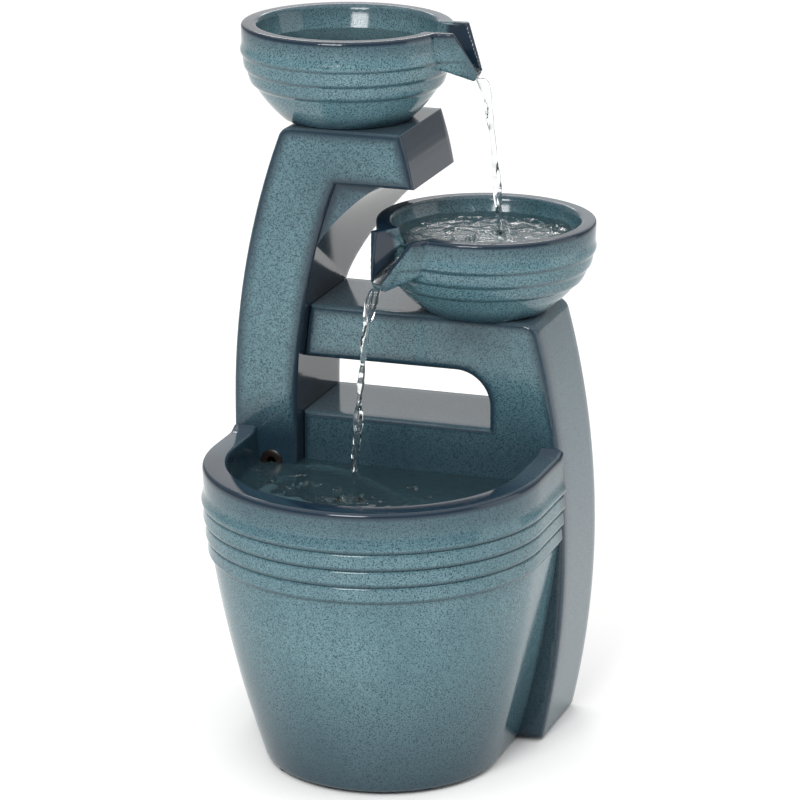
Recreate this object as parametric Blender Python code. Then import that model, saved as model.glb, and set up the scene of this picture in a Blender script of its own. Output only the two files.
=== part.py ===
"""Tabletop water fountain: a D-shaped basin, a two-piece arched tower, two spouted bowls,
and the pump, hose and fittings that lift the water from the basin to the top bowl.

Frame: metres, +Z up, -Y to the front. The origin is on the ground, under the basin's centre.
"""

import math

import bmesh
import bpy
from mathutils import Matrix, Vector

MM = 0.001

# ---------------------------------------------------------------- driving dimensions
GAP = 0.3 * MM                    # joint line between two bonded or resting pieces
PAD_THICKNESS = 1.5 * MM
PAD_RADIUS = 7 * MM
BASE_Z = PAD_THICKNESS + GAP      # underside of the castings

BASIN_RIM_Z = 173 * MM
BASIN_RIM_HALF_WIDTH = 96 * MM
BASIN_FOOT_HALF_WIDTH = 65.5 * MM
BASIN_FLARE = 1.75                # exponent of the side's curve, 1 is a straight cone
BASIN_LEAN = 5 * MM               # how far the foot's centre stands to the right of the rim's
BASIN_CENTRE_Y = -3 * MM
BASIN_RIM_WALL = 14 * MM
BASIN_WALL = 9 * MM
BASIN_FLOOR = 7.2 * MM
BASIN_RIM_ROUND = 4 * MM
BASIN_INNER_CHAMFER = 4 * MM
BASIN_RIB_TOP_DROP = 21 * MM      # rim to the first rib's crest
BASIN_RIB_PITCH = 9.3 * MM
BASIN_RIB_COUNT = 4
BASIN_RIB_HEIGHT = 2.2 * MM
WATER_LEVEL_Z = 155 * MM

TOWER_BACK_Y = 105 * MM
LEFT_FRONT_Y = 28.5 * MM
RIGHT_FRONT_Y = 40 * MM
TOWER_WALL = 5 * MM
TOWER_EDGE_ROUND = 1.6 * MM
TOWER_CORNER_ROUND = 8 * MM

COLUMN_OUTER_X = -95.6 * MM       # left column, outer face at its widest
COLUMN_OUTER_WAIST_Z = 189.7 * MM
COLUMN_OUTER_RADIUS = 450.7 * MM
COLUMN_BARREL_Z = 125 * MM
COLUMN_BARREL_RADIUS = 771 * MM
COLUMN_INNER_X = -58.4 * MM
COLUMN_INNER_WAIST_Z = 187.2 * MM
COLUMN_INNER_RADIUS = 378.5 * MM

TOP_ARM_Z = 350.1 * MM
TOP_ARM_HEIGHT = 30.6 * MM
TOP_ARM_END_X = 3.2 * MM
TOP_ARM_END_SLANT = 7.8 * MM
TOP_ARM_END_BULGE = 0.6 * MM
GUSSET_SETBACK = 3 * MM
GUSSET_FRONT_REACH = 26 * MM      # along the arm, from the column's face
GUSSET_FRONT_DROP = 37 * MM
GUSSET_BACK_REACH = 42 * MM
GUSSET_BACK_DROP = 74 * MM
GUSSET_HOLLOW = 1.55              # 1 is a quarter ellipse, 2 a straight brace
GUSSET_STEPS = 8                  # an even number, so that one point lies in the bare corner

RIGHT_OUTER_X = 97 * MM
RIGHT_OUTER_WAIST_Z = 110.6 * MM
RIGHT_OUTER_RADIUS = 494.3 * MM
MID_ARM_Z = 246 * MM
MID_ARM_HEIGHT = 30.3 * MM
SILL_Z = 183.2 * MM
WINDOW_RIGHT_X = 52.4 * MM
WINDOW_ROUND = 20 * MM

BASE_PLATE_THICKNESS = 3 * MM
BASE_PLATE_CLEARANCE = 0.4 * MM

BOWL_WALL = 9 * MM
BOWL_FLOOR = 7 * MM
BOWL_FLARE = 2.6                  # exponent of the bowl's side, 2 is an ellipse
BOWL_RIB_COUNT = 3
BOWL_RIB_TOP_DROP = 16.4 * MM
BOWL_RIB_PITCH = 8.5 * MM
BOWL_RIB_HEIGHT = 1.3 * MM
BOWL_RIB_WIDTH = 5.2 * MM
SPOUT_REACH = 17.5 * MM           # rim to the tip
SPOUT_SHOULDER = 6 * MM           # rim to the shoulder of the lip
SPOUT_DROP = 29 * MM              # rim height to the tip's lowest edge
SPOUT_HALF_WIDTH = 19 * MM
SPOUT_TIP_HALF_WIDTH = 5 * MM
SPOUT_LIP = 3.4 * MM
SPOUT_CHANNEL_DEPTH = 17 * MM

TOP_BOWL_CENTRE = Vector((-40 * MM, 66.5 * MM))
TOP_BOWL_RADIUS = 59.3 * MM
TOP_BOWL_HEIGHT = 53.5 * MM
TOP_BOWL_FOOT_RADIUS = 36 * MM
TOP_SPOUT_ANGLE = math.radians(3)

MID_BOWL_CENTRE = Vector((41.3 * MM, 68 * MM))
MID_BOWL_RADIUS = 61.6 * MM
MID_BOWL_HEIGHT = 51.2 * MM
MID_BOWL_FOOT_RADIUS = 34 * MM
MID_SPOUT_ANGLE = math.radians(-122.3)

CABLE_PORT_X = -73 * MM
CABLE_PORT_Z = 156 * MM
HOSE_PORT_Z = 112 * MM
PORT_RADIUS = 5.5 * MM
GROMMET_FLANGE_RADIUS = 6.5 * MM
GROMMET_FLANGE = 1.2 * MM
GROMMET_CLEARANCE = 0.3 * MM
CABLE_RADIUS = 2.6 * MM
CABLE_EXIT_Z = 16 * MM

HATCH_X = -76 * MM
HATCH_Z = 135 * MM
HATCH_WIDTH = 22 * MM
HATCH_HEIGHT = 80 * MM
HATCH_LIP = 2.5 * MM              # how far the hatch's plate overlaps the wall round it
HATCH_THICKNESS = 2 * MM
HATCH_CLEARANCE = 0.4 * MM

HOSE_RADIUS = 4 * MM

PUMP_X = -45.5 * MM                 # back end of the pump's body
PUMP_Y = 14 * MM
PUMP_LENGTH = 34 * MM
PUMP_WIDTH = 36 * MM
PUMP_HEIGHT = 28 * MM
PUMP_WALL = 2.5 * MM
GLAND_RADIUS = 2.9 * MM
GLAND_LENGTH = 7 * MM
VOLUTE_LENGTH = 9.5 * MM
STRAINER_LENGTH = 13 * MM
STRAINER_WALL = 2 * MM
SLOT_ROWS = 5
SLOT_PITCH = 4 * MM
SLOT_LENGTH = 7 * MM
SLOT_HEIGHT = 2 * MM
SLIDER_WIDTH = 9 * MM
ROTOR_RADIUS = 8 * MM
ROTOR_LENGTH = 20 * MM
ROTOR_CLEARANCE = 0.5 * MM
VANE_RADIUS = 10 * MM
VANE_LENGTH = 4 * MM
VANE_COUNT = 6
VANE_TIP_CLEARANCE = 2.6 * MM
SHAFT_RADIUS = 1.1 * MM
SHAFT_CLEARANCE = 0.1 * MM
SPIGOT_RADIUS = 5 * MM
SPIGOT_LENGTH = 7 * MM
SPIGOT_BORE_RADIUS = 2.6 * MM
CUP_HEIGHT = 4 * MM
CUP_RADIUS = 5.5 * MM
CUP_REAR = 7 * MM                   # from the back end of the pump's body
CUP_FRONT = 27 * MM

FITTING_RADIUS = 6 * MM
FITTING_FLANGE_RADIUS = 11 * MM
FITTING_FLANGE = 2.5 * MM
FITTING_CLEARANCE = 0.4 * MM
FITTING_BARB_LENGTH = 5 * MM
SEAL_THICKNESS = 1.5 * MM
NUT_ACROSS = 20 * MM
NUT_THICKNESS = 5 * MM
CAP_HEIGHT = 7 * MM
CAP_SKIN = 2 * MM
FITTING_BORE_RADIUS = 2.2 * MM
BARB_TAPER = 1 * MM

DRAIN_X = 32 * MM
DRAIN_Y = -20 * MM
DRAIN_RADIUS = 5 * MM
DRAIN_FLANGE_RADIUS = 8 * MM
DRAIN_FLANGE = 1.5 * MM
DRAIN_SLACK = 0.1 * MM
DRAIN_KNOB_RADIUS = 3.2 * MM
DRAIN_KNOB_HEIGHT = 5 * MM

FRONT = Vector((0, -1, 0))


# ---------------------------------------------------------------- modelling helpers
def clear_scene():
    for obj in list(bpy.data.objects):
        bpy.data.objects.remove(obj, do_unlink=True)


def material(name, colour, roughness, metallic=0.0):
    """A Principled material, made once and shared by name."""
    found = bpy.data.materials.get(name)
    if found:
        return found
    made = bpy.data.materials.new(name)
    made.use_nodes = True
    shader = made.node_tree.nodes["Principled BSDF"]
    shader.inputs["Base Color"].default_value = (*colour, 1)
    shader.inputs["Roughness"].default_value = roughness
    shader.inputs["Metallic"].default_value = metallic
    return made


def glazed_resin():
    return material("glazed_resin", (0.062, 0.150, 0.178), 0.28)


def black_plastic():
    return material("black_plastic", (0.012, 0.012, 0.013), 0.45)


def grey_plastic():
    return material("grey_plastic", (0.10, 0.10, 0.11), 0.5)


def brown_rubber():
    return material("brown_rubber", (0.030, 0.014, 0.010), 0.7)


def black_rubber():
    return material("black_rubber", (0.010, 0.010, 0.010), 0.8)


def clear_hose():
    return material("clear_hose", (0.55, 0.60, 0.60), 0.3)


def ceramic():
    return material("shaft_ceramic", (0.75, 0.74, 0.70), 0.35)


def ferrite():
    return material("rotor_ferrite", (0.045, 0.045, 0.05), 0.6)


def potting():
    return material("potting_resin", (0.03, 0.03, 0.035), 0.55)


def place(name, bm, finish=None):
    """Turn a bmesh into an object of the scene, with its faces pointing outwards."""
    bmesh.ops.recalc_face_normals(bm, faces=bm.faces)
    mesh = bpy.data.meshes.new(name)
    bm.to_mesh(mesh)
    bm.free()
    mesh.shade_smooth()
    mesh.set_sharp_from_angle(angle=math.radians(35))
    obj = bpy.data.objects.new(name, mesh)
    bpy.context.scene.collection.objects.link(obj)
    if finish:
        obj.data.materials.append(finish)
    return obj


def boolean(target, bm, operation="DIFFERENCE", solver="EXACT"):
    """Cut a bmesh out of a piece, or join it on. The tool stays as a hidden helper."""
    index = len(target.modifiers)
    tool = place(f"{target.name}_tool{index}", bm)
    tool.hide_render = True
    tool.display_type = "WIRE"
    modifier = target.modifiers.new(f"{operation.lower()}_{index}", "BOOLEAN")
    modifier.operation = operation
    modifier.solver = solver
    modifier.object = tool
    return target


def bevel_edges(target, width, segments=2):
    modifier = target.modifiers.new("edge_round", "BEVEL")
    modifier.width = width
    modifier.segments = segments
    modifier.limit_method = "ANGLE"
    modifier.angle_limit = math.radians(40)
    return target


def prism(outline, low, high, axis="Y"):
    """A closed outline drawn in XZ, swept from low to high along Y; or drawn in XY, along Z."""
    bm = bmesh.new()
    if axis == "Y":
        corners = [bm.verts.new((u, low, v)) for u, v in outline]
        sweep = Vector((0, high - low, 0))
    else:
        corners = [bm.verts.new((u, v, low)) for u, v in outline]
        sweep = Vector((0, 0, high - low))
    face = bm.faces.new(corners)
    swept = bmesh.ops.extrude_face_region(bm, geom=[face])
    moved = [v for v in swept["geom"] if isinstance(v, bmesh.types.BMVert)]
    bmesh.ops.translate(bm, vec=sweep, verts=moved)
    return bm


def box(low, high):
    bm = bmesh.new()
    bmesh.ops.create_cube(bm, size=1)
    size = [b - a for a, b in zip(low, high)]
    middle = [(a + b) / 2 for a, b in zip(low, high)]
    bmesh.ops.scale(bm, vec=size, verts=bm.verts)
    bmesh.ops.translate(bm, vec=middle, verts=bm.verts)
    return bm


def turned(profile, segments, centre=(0, 0, 0), axis=(0, 0, 1)):
    """Spin a closed (radius, height) profile about an axis through centre."""
    bm = bmesh.new()
    corners = [bm.verts.new((radius, 0, height)) for radius, height in profile]
    pairs = zip(corners, corners[1:] + corners[:1])
    # An edge along the axis would stay inside the solid, so it is left out.
    edges = [bm.edges.new((a, b)) for a, b in pairs if a.co.x > 0 or b.co.x > 0]
    bmesh.ops.spin(bm, geom=corners + edges, cent=(0, 0, 0), axis=(0, 0, 1),
                   angle=math.tau, steps=segments, use_merge=True, use_duplicate=False)
    bmesh.ops.remove_doubles(bm, verts=bm.verts, dist=1e-7)
    turn = Vector((0, 0, 1)).rotation_difference(Vector(axis)).to_matrix().to_4x4()
    bmesh.ops.transform(bm, matrix=Matrix.Translation(centre) @ turn, verts=bm.verts)
    return bm


def cylinder(radius, low, high, segments, centre=(0, 0, 0), axis=(0, 0, 1)):
    profile = [(0, low), (radius, low), (radius, high), (0, high)]
    return turned(profile, segments, centre, axis)


def hull(points):
    """The convex solid round a few points."""
    bm = bmesh.new()
    for point in points:
        bm.verts.new(point)
    made = bmesh.ops.convex_hull(bm, input=bm.verts)
    unused = [v for v in made["geom_interior"] if isinstance(v, bmesh.types.BMVert)]
    bmesh.ops.delete(bm, geom=unused, context="VERTS")
    return bm


def arc_x(z, apex_x, apex_z, radius, inward):
    """The x at height z of an upright arc whose outermost point is (apex_x, apex_z)."""
    return apex_x + inward * (radius - math.sqrt(radius**2 - (z - apex_z) ** 2))


def steps(start, end, count):
    return [start + (end - start) * i / count for i in range(count + 1)]


def round_corner(corner, before, after, radius, count=4):
    """Points that round a corner of an outline, tangent to both of its sides."""
    corner, before, after = Vector(corner), Vector(before), Vector(after)
    side_in, side_out = (before - corner).normalized(), (after - corner).normalized()
    half = side_in.angle(side_out) / 2
    reach = radius / math.tan(half)
    centre = corner + (side_in + side_out).normalized() * radius / math.sin(half)
    start, end = corner + side_in * reach - centre, corner + side_out * reach - centre
    points = []
    for t in steps(0, 1, count):
        spoke = start.lerp(end, t).normalized() * radius
        points.append(tuple(centre + spoke))
    return points


# ---------------------------------------------------------------- basin
def basin_half_width(z):
    share = 1 - z / BASIN_RIM_Z
    return BASIN_RIM_HALF_WIDTH - (BASIN_RIM_HALF_WIDTH - BASIN_FOOT_HALF_WIDTH) * share**BASIN_FLARE


def basin_centre_x(z):
    return BASIN_LEAN * (1 - z / BASIN_RIM_Z)


def basin_ring(bm, z, half_width, back_y):
    """A D: a half circle at the front and straight sides running back."""
    count = 30
    points = [(-half_width, back_y)]
    for i in range(count + 1):
        angle = math.pi + math.pi * i / count
        points.append((half_width * math.cos(angle), BASIN_CENTRE_Y + half_width * math.sin(angle)))
    points.append((half_width, back_y))
    centre_x = basin_centre_x(z)
    return [bm.verts.new((centre_x + x, y, z)) for x, y in points]


def basin_rows():
    """Height and half width down the outside, over the rim and down the inside."""
    rows = [(BASE_Z, basin_half_width(BASE_Z) - 2 * MM), (BASE_Z + 2 * MM, basin_half_width(BASE_Z))]
    rib_z = [BASIN_RIM_Z - BASIN_RIB_TOP_DROP - i * BASIN_RIB_PITCH for i in range(BASIN_RIB_COUNT)]
    lowest_groove = rib_z[-1] - BASIN_RIB_PITCH / 2
    rows += [(z, basin_half_width(z)) for z in steps(BASE_Z + 16 * MM, lowest_groove, 6)]
    for z in reversed(rib_z):
        for offset, share in ((-0.34, 0.72), (0, 1), (0.34, 0.72), (0.5, 0)):
            height = z + offset * BASIN_RIB_PITCH
            rows.append((height, basin_half_width(height) + share * BASIN_RIB_HEIGHT))
    for angle in steps(0, math.pi / 2, 3):
        rows.append((BASIN_RIM_Z - BASIN_RIM_ROUND * (1 - math.sin(angle)),
                     BASIN_RIM_HALF_WIDTH - BASIN_RIM_ROUND * (1 - math.cos(angle))))
    rim_inner = BASIN_RIM_HALF_WIDTH - BASIN_RIM_WALL
    rows.append((BASIN_RIM_Z, rim_inner + BASIN_INNER_CHAMFER))
    rows.append((BASIN_RIM_Z - BASIN_INNER_CHAMFER, rim_inner))
    rows.append((WATER_LEVEL_Z - 8 * MM, basin_half_width(WATER_LEVEL_Z) - BASIN_RIM_WALL))
    for z in steps(HOSE_PORT_Z + 12 * MM, BASE_Z + BASIN_FLOOR, 4):
        rows.append((z, basin_half_width(z) - BASIN_WALL))
    return rows


def make_basin():
    bm = bmesh.new()
    back_y = RIGHT_FRONT_Y + 20 * MM
    rings = [basin_ring(bm, z, half_width, back_y) for z, half_width in basin_rows()]
    for lower, upper in zip(rings, rings[1:]):
        for i, corner in enumerate(lower):
            j = (i + 1) % len(lower)
            bm.faces.new((corner, lower[j], upper[j], upper[i]))
    bm.faces.new(list(reversed(rings[0])))
    bm.faces.new(rings[-1])
    basin = place("basin", bm, glazed_resin())
    # The towers stand where the D's back would be, and close it.
    reach = BASIN_RIM_HALF_WIDTH * 1.5
    behind = [(-reach, LEFT_FRONT_Y - GAP), (COLUMN_INNER_X + GAP, LEFT_FRONT_Y - GAP),
              (COLUMN_INNER_X + GAP, RIGHT_FRONT_Y - GAP), (reach, RIGHT_FRONT_Y - GAP),
              (reach, TOWER_BACK_Y), (-reach, TOWER_BACK_Y)]
    boolean(basin, prism(behind, -10 * MM, BASIN_RIM_Z + 10 * MM, "Z"))
    boolean(basin, cylinder(DRAIN_RADIUS + GAP, -1 * MM, 20 * MM, 20, (DRAIN_X, DRAIN_Y, 0)))


# ---------------------------------------------------------------- towers
def column_outer_x(z, inset=0.0):
    if z >= COLUMN_OUTER_WAIST_Z:
        return arc_x(z, COLUMN_OUTER_X, COLUMN_OUTER_WAIST_Z, COLUMN_OUTER_RADIUS, 1) + inset
    if z >= COLUMN_BARREL_Z:
        return COLUMN_OUTER_X + inset
    return arc_x(z, COLUMN_OUTER_X, COLUMN_BARREL_Z, COLUMN_BARREL_RADIUS, 1) + inset


def column_inner_x(z, inset=0.0):
    if z <= COLUMN_INNER_WAIST_Z:
        return COLUMN_INNER_X - inset
    return arc_x(z, COLUMN_INNER_X, COLUMN_INNER_WAIST_Z, COLUMN_INNER_RADIUS, 1) - inset


def right_outer_x(z, inset=0.0):
    return arc_x(z, RIGHT_OUTER_X, RIGHT_OUTER_WAIST_Z, RIGHT_OUTER_RADIUS, -1) - inset


def hook_side(inset, bottom_z):
    """The hook in XZ from the foot of its outer side, over the top, to the arm's lower end."""
    top_z = TOP_ARM_Z - inset
    under_z = TOP_ARM_Z - TOP_ARM_HEIGHT + inset
    outline = [(column_outer_x(z, inset), z) for z in steps(bottom_z, COLUMN_BARREL_Z, 4)]
    outline += [(column_outer_x(z, inset), z)
                for z in steps(COLUMN_OUTER_WAIST_Z, top_z - 2 * TOWER_CORNER_ROUND, 8)]
    corner = (column_outer_x(top_z, inset), top_z)
    outline += round_corner(corner, outline[-1], (0, top_z), TOWER_CORNER_ROUND)
    outline.append((TOP_ARM_END_X - inset, top_z))
    outline.append((TOP_ARM_END_X + TOP_ARM_END_SLANT / 2 + TOP_ARM_END_BULGE - inset,
                    (top_z + under_z) / 2))
    outline.append((TOP_ARM_END_X + TOP_ARM_END_SLANT - inset, under_z))
    return outline


def hook_outline(inset, bottom_z):
    """The left casting in XZ: the column and the arm that carries the top bowl."""
    under_z = TOP_ARM_Z - TOP_ARM_HEIGHT + inset
    outline = hook_side(inset, bottom_z)
    outline += [(column_inner_x(z, inset), z) for z in steps(under_z, COLUMN_INNER_WAIST_Z, 8)]
    outline.append((COLUMN_INNER_X - inset, bottom_z))
    return outline


def gusset_run(reach, drop, filled):
    """From the arm's underside to the column in XZ: along the gusset's curve, or along the bare corner."""
    under_z = TOP_ARM_Z - TOP_ARM_HEIGHT
    root_x = column_inner_x(under_z)
    if not filled:
        half = GUSSET_STEPS // 2
        run = [(x, under_z) for x in steps(root_x + reach, root_x, half)]
        return run + [(column_inner_x(z), z) for z in steps(under_z, under_z - drop, half)[1:]]
    run = []
    for angle in steps(0, math.pi / 2, GUSSET_STEPS):
        z = under_z - drop * (1 - math.cos(angle) ** GUSSET_HOLLOW)
        run.append((column_inner_x(z) + reach * (1 - math.sin(angle) ** GUSSET_HOLLOW), z))
    return run


def hook_ring(bm, y, reach, drop, filled):
    """The hook's whole outline as vertices at y, and the part of them that belongs to the gusset."""
    low_z = TOP_ARM_Z - TOP_ARM_HEIGHT - drop
    before = hook_side(0, BASE_Z)
    run = gusset_run(reach, drop, filled)
    after = [(column_inner_x(z), z) for z in steps(low_z, COLUMN_INNER_WAIST_Z, 5)[1:]]
    after.append((COLUMN_INNER_X, BASE_Z))
    ring = [bm.verts.new((x, y, z)) for x, z in before + run + after]
    return ring, slice(len(before) + 1, len(before) + len(run) - 1)


def hook_solid():
    """The left casting: its gusset starts behind the front face, and is deeper at the back."""
    bm = bmesh.new()
    front, _ = hook_ring(bm, LEFT_FRONT_Y, GUSSET_FRONT_REACH, GUSSET_FRONT_DROP, False)
    bare, inner = hook_ring(bm, LEFT_FRONT_Y + GUSSET_SETBACK, GUSSET_FRONT_REACH, GUSSET_FRONT_DROP,
                            False)
    start = list(bare)
    run = gusset_run(GUSSET_FRONT_REACH, GUSSET_FRONT_DROP, True)[1:-1]
    start[inner] = [bm.verts.new((x, LEFT_FRONT_Y + GUSSET_SETBACK, z)) for x, z in run]
    back, _ = hook_ring(bm, TOWER_BACK_Y, GUSSET_BACK_REACH, GUSSET_BACK_DROP, True)
    for near, far in ((front, bare), (start, back)):
        for i, corner in enumerate(near):
            j = (i + 1) % len(near)
            bm.faces.new((corner, near[j], far[j], far[i]))
    # The gusset's own front face lies between the bare corner and its curve.
    bm.faces.new(bare[inner.start - 1:inner.stop + 1] + list(reversed(start[inner])))
    caps = [bm.faces.new(front), bm.faces.new(list(reversed(back)))]
    bmesh.ops.recalc_face_normals(bm, faces=bm.faces)
    rims = [edge for cap in caps for edge in cap.edges]
    bmesh.ops.bevel(bm, geom=rims, offset=TOWER_EDGE_ROUND, segments=2, profile=0.5, material=-1,
                    affect="EDGES")
    bmesh.ops.triangulate(bm, faces=bm.faces)
    return bm


def make_left_tower():
    tower = place("left_tower", hook_solid(), glazed_resin())
    hollow = prism(hook_outline(TOWER_WALL, -5 * MM), LEFT_FRONT_Y + TOWER_WALL,
                   TOWER_BACK_Y - TOWER_WALL)
    boolean(tower, hollow)
    through = LEFT_FRONT_Y + TOWER_WALL + 1 * MM
    for z in (CABLE_PORT_Z, HOSE_PORT_Z):
        boolean(tower, cylinder(PORT_RADIUS, 0, through, 20, (CABLE_PORT_X, 0, z), (0, 1, 0)))
    boolean(tower, cylinder(PORT_RADIUS, 0, 20 * MM, 20,
                            (CABLE_PORT_X, TOWER_BACK_Y - 10 * MM, CABLE_EXIT_Z), (0, 1, 0)))
    boolean(tower, cylinder(FITTING_RADIUS + FITTING_CLEARANCE, -10 * MM, 10 * MM, 20,
                            (*TOP_BOWL_CENTRE, TOP_ARM_Z)))
    half_width, half_height = HATCH_WIDTH / 2 - HATCH_LIP, HATCH_HEIGHT / 2 - HATCH_LIP
    boolean(tower, box((HATCH_X - half_width, TOWER_BACK_Y - 10 * MM, HATCH_Z - half_height),
                       (HATCH_X + half_width, TOWER_BACK_Y + 10 * MM, HATCH_Z + half_height)))
    # A shallow rebate lets the hatch's plate lie flush.
    rebate = HATCH_THICKNESS + GAP
    wide, tall = HATCH_WIDTH / 2 + HATCH_CLEARANCE, HATCH_HEIGHT / 2 + HATCH_CLEARANCE
    boolean(tower, box((HATCH_X - wide, TOWER_BACK_Y - rebate, HATCH_Z - tall),
                       (HATCH_X + wide, TOWER_BACK_Y + 10 * MM, HATCH_Z + tall)))


def arch_outline(inset, bottom_z):
    """The right casting in XZ: the column, the arm that carries the middle bowl, and the sill."""
    arm_top, arm_under = MID_ARM_Z - inset, MID_ARM_Z - MID_ARM_HEIGHT + inset
    sill = SILL_Z - inset
    left_low = COLUMN_INNER_X + GAP + inset
    outline = [(left_low, bottom_z), (right_outer_x(bottom_z, inset), bottom_z)]
    outline += [(right_outer_x(z, inset), z)
                for z in steps(bottom_z, arm_top - 2 * TOWER_CORNER_ROUND, 10)[1:]]
    corner = (right_outer_x(arm_top, inset), arm_top)
    outline += round_corner(corner, outline[-1], (0, arm_top), TOWER_CORNER_ROUND)
    outline += [(column_inner_x(z) + GAP + inset, z) for z in (arm_top, arm_under)]
    window_x = WINDOW_RIGHT_X + inset
    outline += round_corner((window_x, arm_under), (0, arm_under), (window_x, sill),
                            WINDOW_ROUND + inset, 6)
    outline += [(window_x, sill), (left_low, sill)]
    return outline


def make_right_tower():
    tower = place("right_tower", prism(arch_outline(0, BASE_Z), RIGHT_FRONT_Y, TOWER_BACK_Y),
                  glazed_resin())
    bevel_edges(tower, TOWER_EDGE_ROUND)
    hollow = prism(arch_outline(TOWER_WALL, -5 * MM), RIGHT_FRONT_Y + TOWER_WALL,
                   TOWER_BACK_Y - TOWER_WALL)
    boolean(tower, hollow)


def make_base_plates():
    """Two plates close the towers' open undersides."""
    inset = TOWER_WALL + BASE_PLATE_CLEARANCE
    low, high = BASE_Z, BASE_Z + BASE_PLATE_THICKNESS
    back = TOWER_BACK_Y - inset
    for name, left, right, front in (
        ("left_base_plate", column_outer_x(low, inset), COLUMN_INNER_X - inset, LEFT_FRONT_Y),
        ("right_base_plate", COLUMN_INNER_X + GAP + inset, right_outer_x(low, inset), RIGHT_FRONT_Y),
    ):
        plate = box((left, front + inset, low), (right, back, high))
        place(name, plate, grey_plastic())


# ---------------------------------------------------------------- bowls
def bowl_side(drop, radius, height, foot):
    return foot + (radius - foot) * (1 - (drop / height) ** BOWL_FLARE)


def bowl_profile(rim_z, radius, height, foot):
    """(radius, z) from the rim's inner edge over the rim, down the ribbed outside, and back inside."""
    edge = 1.6 * MM
    profile = [(radius - BOWL_WALL, rim_z), (radius - edge, rim_z), (radius, rim_z - edge)]
    profile.append((bowl_side(9 * MM, radius, height, foot), rim_z - 9 * MM))
    for i in range(BOWL_RIB_COUNT):
        crest = BOWL_RIB_TOP_DROP + i * BOWL_RIB_PITCH
        for offset, share in ((-0.5, 0), (-0.22, 0.8), (0, 1), (0.22, 0.8), (0.5, 0)):
            drop = crest + offset * BOWL_RIB_WIDTH
            out = bowl_side(drop, radius, height, foot) + share * BOWL_RIB_HEIGHT
            profile.append((out, rim_z - drop))
    last = BOWL_RIB_TOP_DROP + (BOWL_RIB_COUNT - 0.5) * BOWL_RIB_PITCH
    for drop in steps(last, height, 4):
        profile.append((bowl_side(drop, radius, height, foot), rim_z - drop))
    profile.append((0, rim_z - height))
    floor_z = rim_z - height + BOWL_FLOOR
    profile.append((0, floor_z))
    inner_foot = foot - BOWL_FLOOR
    inner_height = height - BOWL_FLOOR
    for share in (1, 0.92, 0.8, 0.62, 0.42, 0.2):
        drop = share * inner_height
        profile.append((bowl_side(drop, radius - BOWL_WALL, inner_height, inner_foot), rim_z - drop))
    return profile


def spout_frame(centre, angle, rim_z):
    """Maps (out, side, down) of a spout to a world point."""
    out = Vector((math.cos(angle), math.sin(angle), 0))
    side = Vector((-math.sin(angle), math.cos(angle), 0))
    origin = Vector((centre.x, centre.y, rim_z))

    def point(along, across, down):
        return origin + out * along + side * across - Vector((0, 0, down))

    return point


def spout_solid(point, radius):
    """A lip that narrows and falls from the rim to a tip."""
    root = radius - 16 * MM
    shoulder, tip = radius + SPOUT_SHOULDER, radius + SPOUT_REACH
    half, tip_half = SPOUT_HALF_WIDTH, SPOUT_TIP_HALF_WIDTH
    points = []
    for sign in (-1, 1):
        points += [point(root, sign * half, 0), point(shoulder, sign * half, 0),
                   point(tip, sign * tip_half, SPOUT_DROP - 5 * MM),
                   point(tip - 2.5 * MM, sign * tip_half, SPOUT_DROP),
                   point(root, sign * half, SPOUT_DROP - 13 * MM),
                   point(radius - 3 * MM, sign * half * 0.8, SPOUT_DROP - 9 * MM)]
    return hull(points)


def spout_channel(point, radius):
    """The trough that is cut through the rim and down the lip."""
    root = radius - BOWL_WALL - 12 * MM
    shoulder, tip = radius + SPOUT_SHOULDER, radius + SPOUT_REACH
    wide, narrow = SPOUT_HALF_WIDTH - SPOUT_LIP, SPOUT_TIP_HALF_WIDTH - SPOUT_LIP * 0.6
    above = -6 * MM
    points = []
    for sign in (-1, 1):
        points += [point(root, sign * wide, above), point(shoulder + 10 * MM, sign * wide, above),
                   point(root, sign * wide * 0.75, SPOUT_CHANNEL_DEPTH - 2 * MM),
                   point(radius - 4 * MM, sign * wide * 0.6, SPOUT_CHANNEL_DEPTH),
                   point(tip + 4 * MM, sign * narrow, SPOUT_DROP - 2.5 * MM),
                   point(tip + 8 * MM, sign * narrow * 1.5, SPOUT_DROP - 12 * MM)]
    return hull(points)


def make_bowl(name, centre, base_z, radius, height, foot, spout_angle):
    rim_z = base_z + height
    bowl = place(name, turned(bowl_profile(rim_z, radius, height, foot), 48, (*centre, 0)),
                 glazed_resin())
    point = spout_frame(centre, spout_angle, rim_z)
    lip = spout_solid(point, radius)
    boolean(bowl, lip, "UNION")
    # The lip's root would otherwise stand inside the bowl.
    inside = bowl_profile(rim_z, radius, height, foot)[-6:]
    above = rim_z + 5 * MM
    inner = [(0, inside[0][1]), *inside, (radius - BOWL_WALL, rim_z), (radius - BOWL_WALL, above),
             (0, above)]
    boolean(bowl, turned(inner, 48, (*centre, 0)))
    boolean(bowl, spout_channel(point, radius))
    return bowl


def make_bowls():
    top_base = TOP_ARM_Z + GAP
    top = make_bowl("top_bowl", TOP_BOWL_CENTRE, top_base, TOP_BOWL_RADIUS, TOP_BOWL_HEIGHT,
                    TOP_BOWL_FOOT_RADIUS, TOP_SPOUT_ANGLE)
    boolean(top, cylinder(FITTING_RADIUS + FITTING_CLEARANCE, -5 * MM, BOWL_FLOOR + 5 * MM, 20,
                          (*TOP_BOWL_CENTRE, top_base)))
    make_bowl("mid_bowl", MID_BOWL_CENTRE, MID_ARM_Z + GAP, MID_BOWL_RADIUS, MID_BOWL_HEIGHT,
              MID_BOWL_FOOT_RADIUS, MID_SPOUT_ANGLE)


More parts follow.
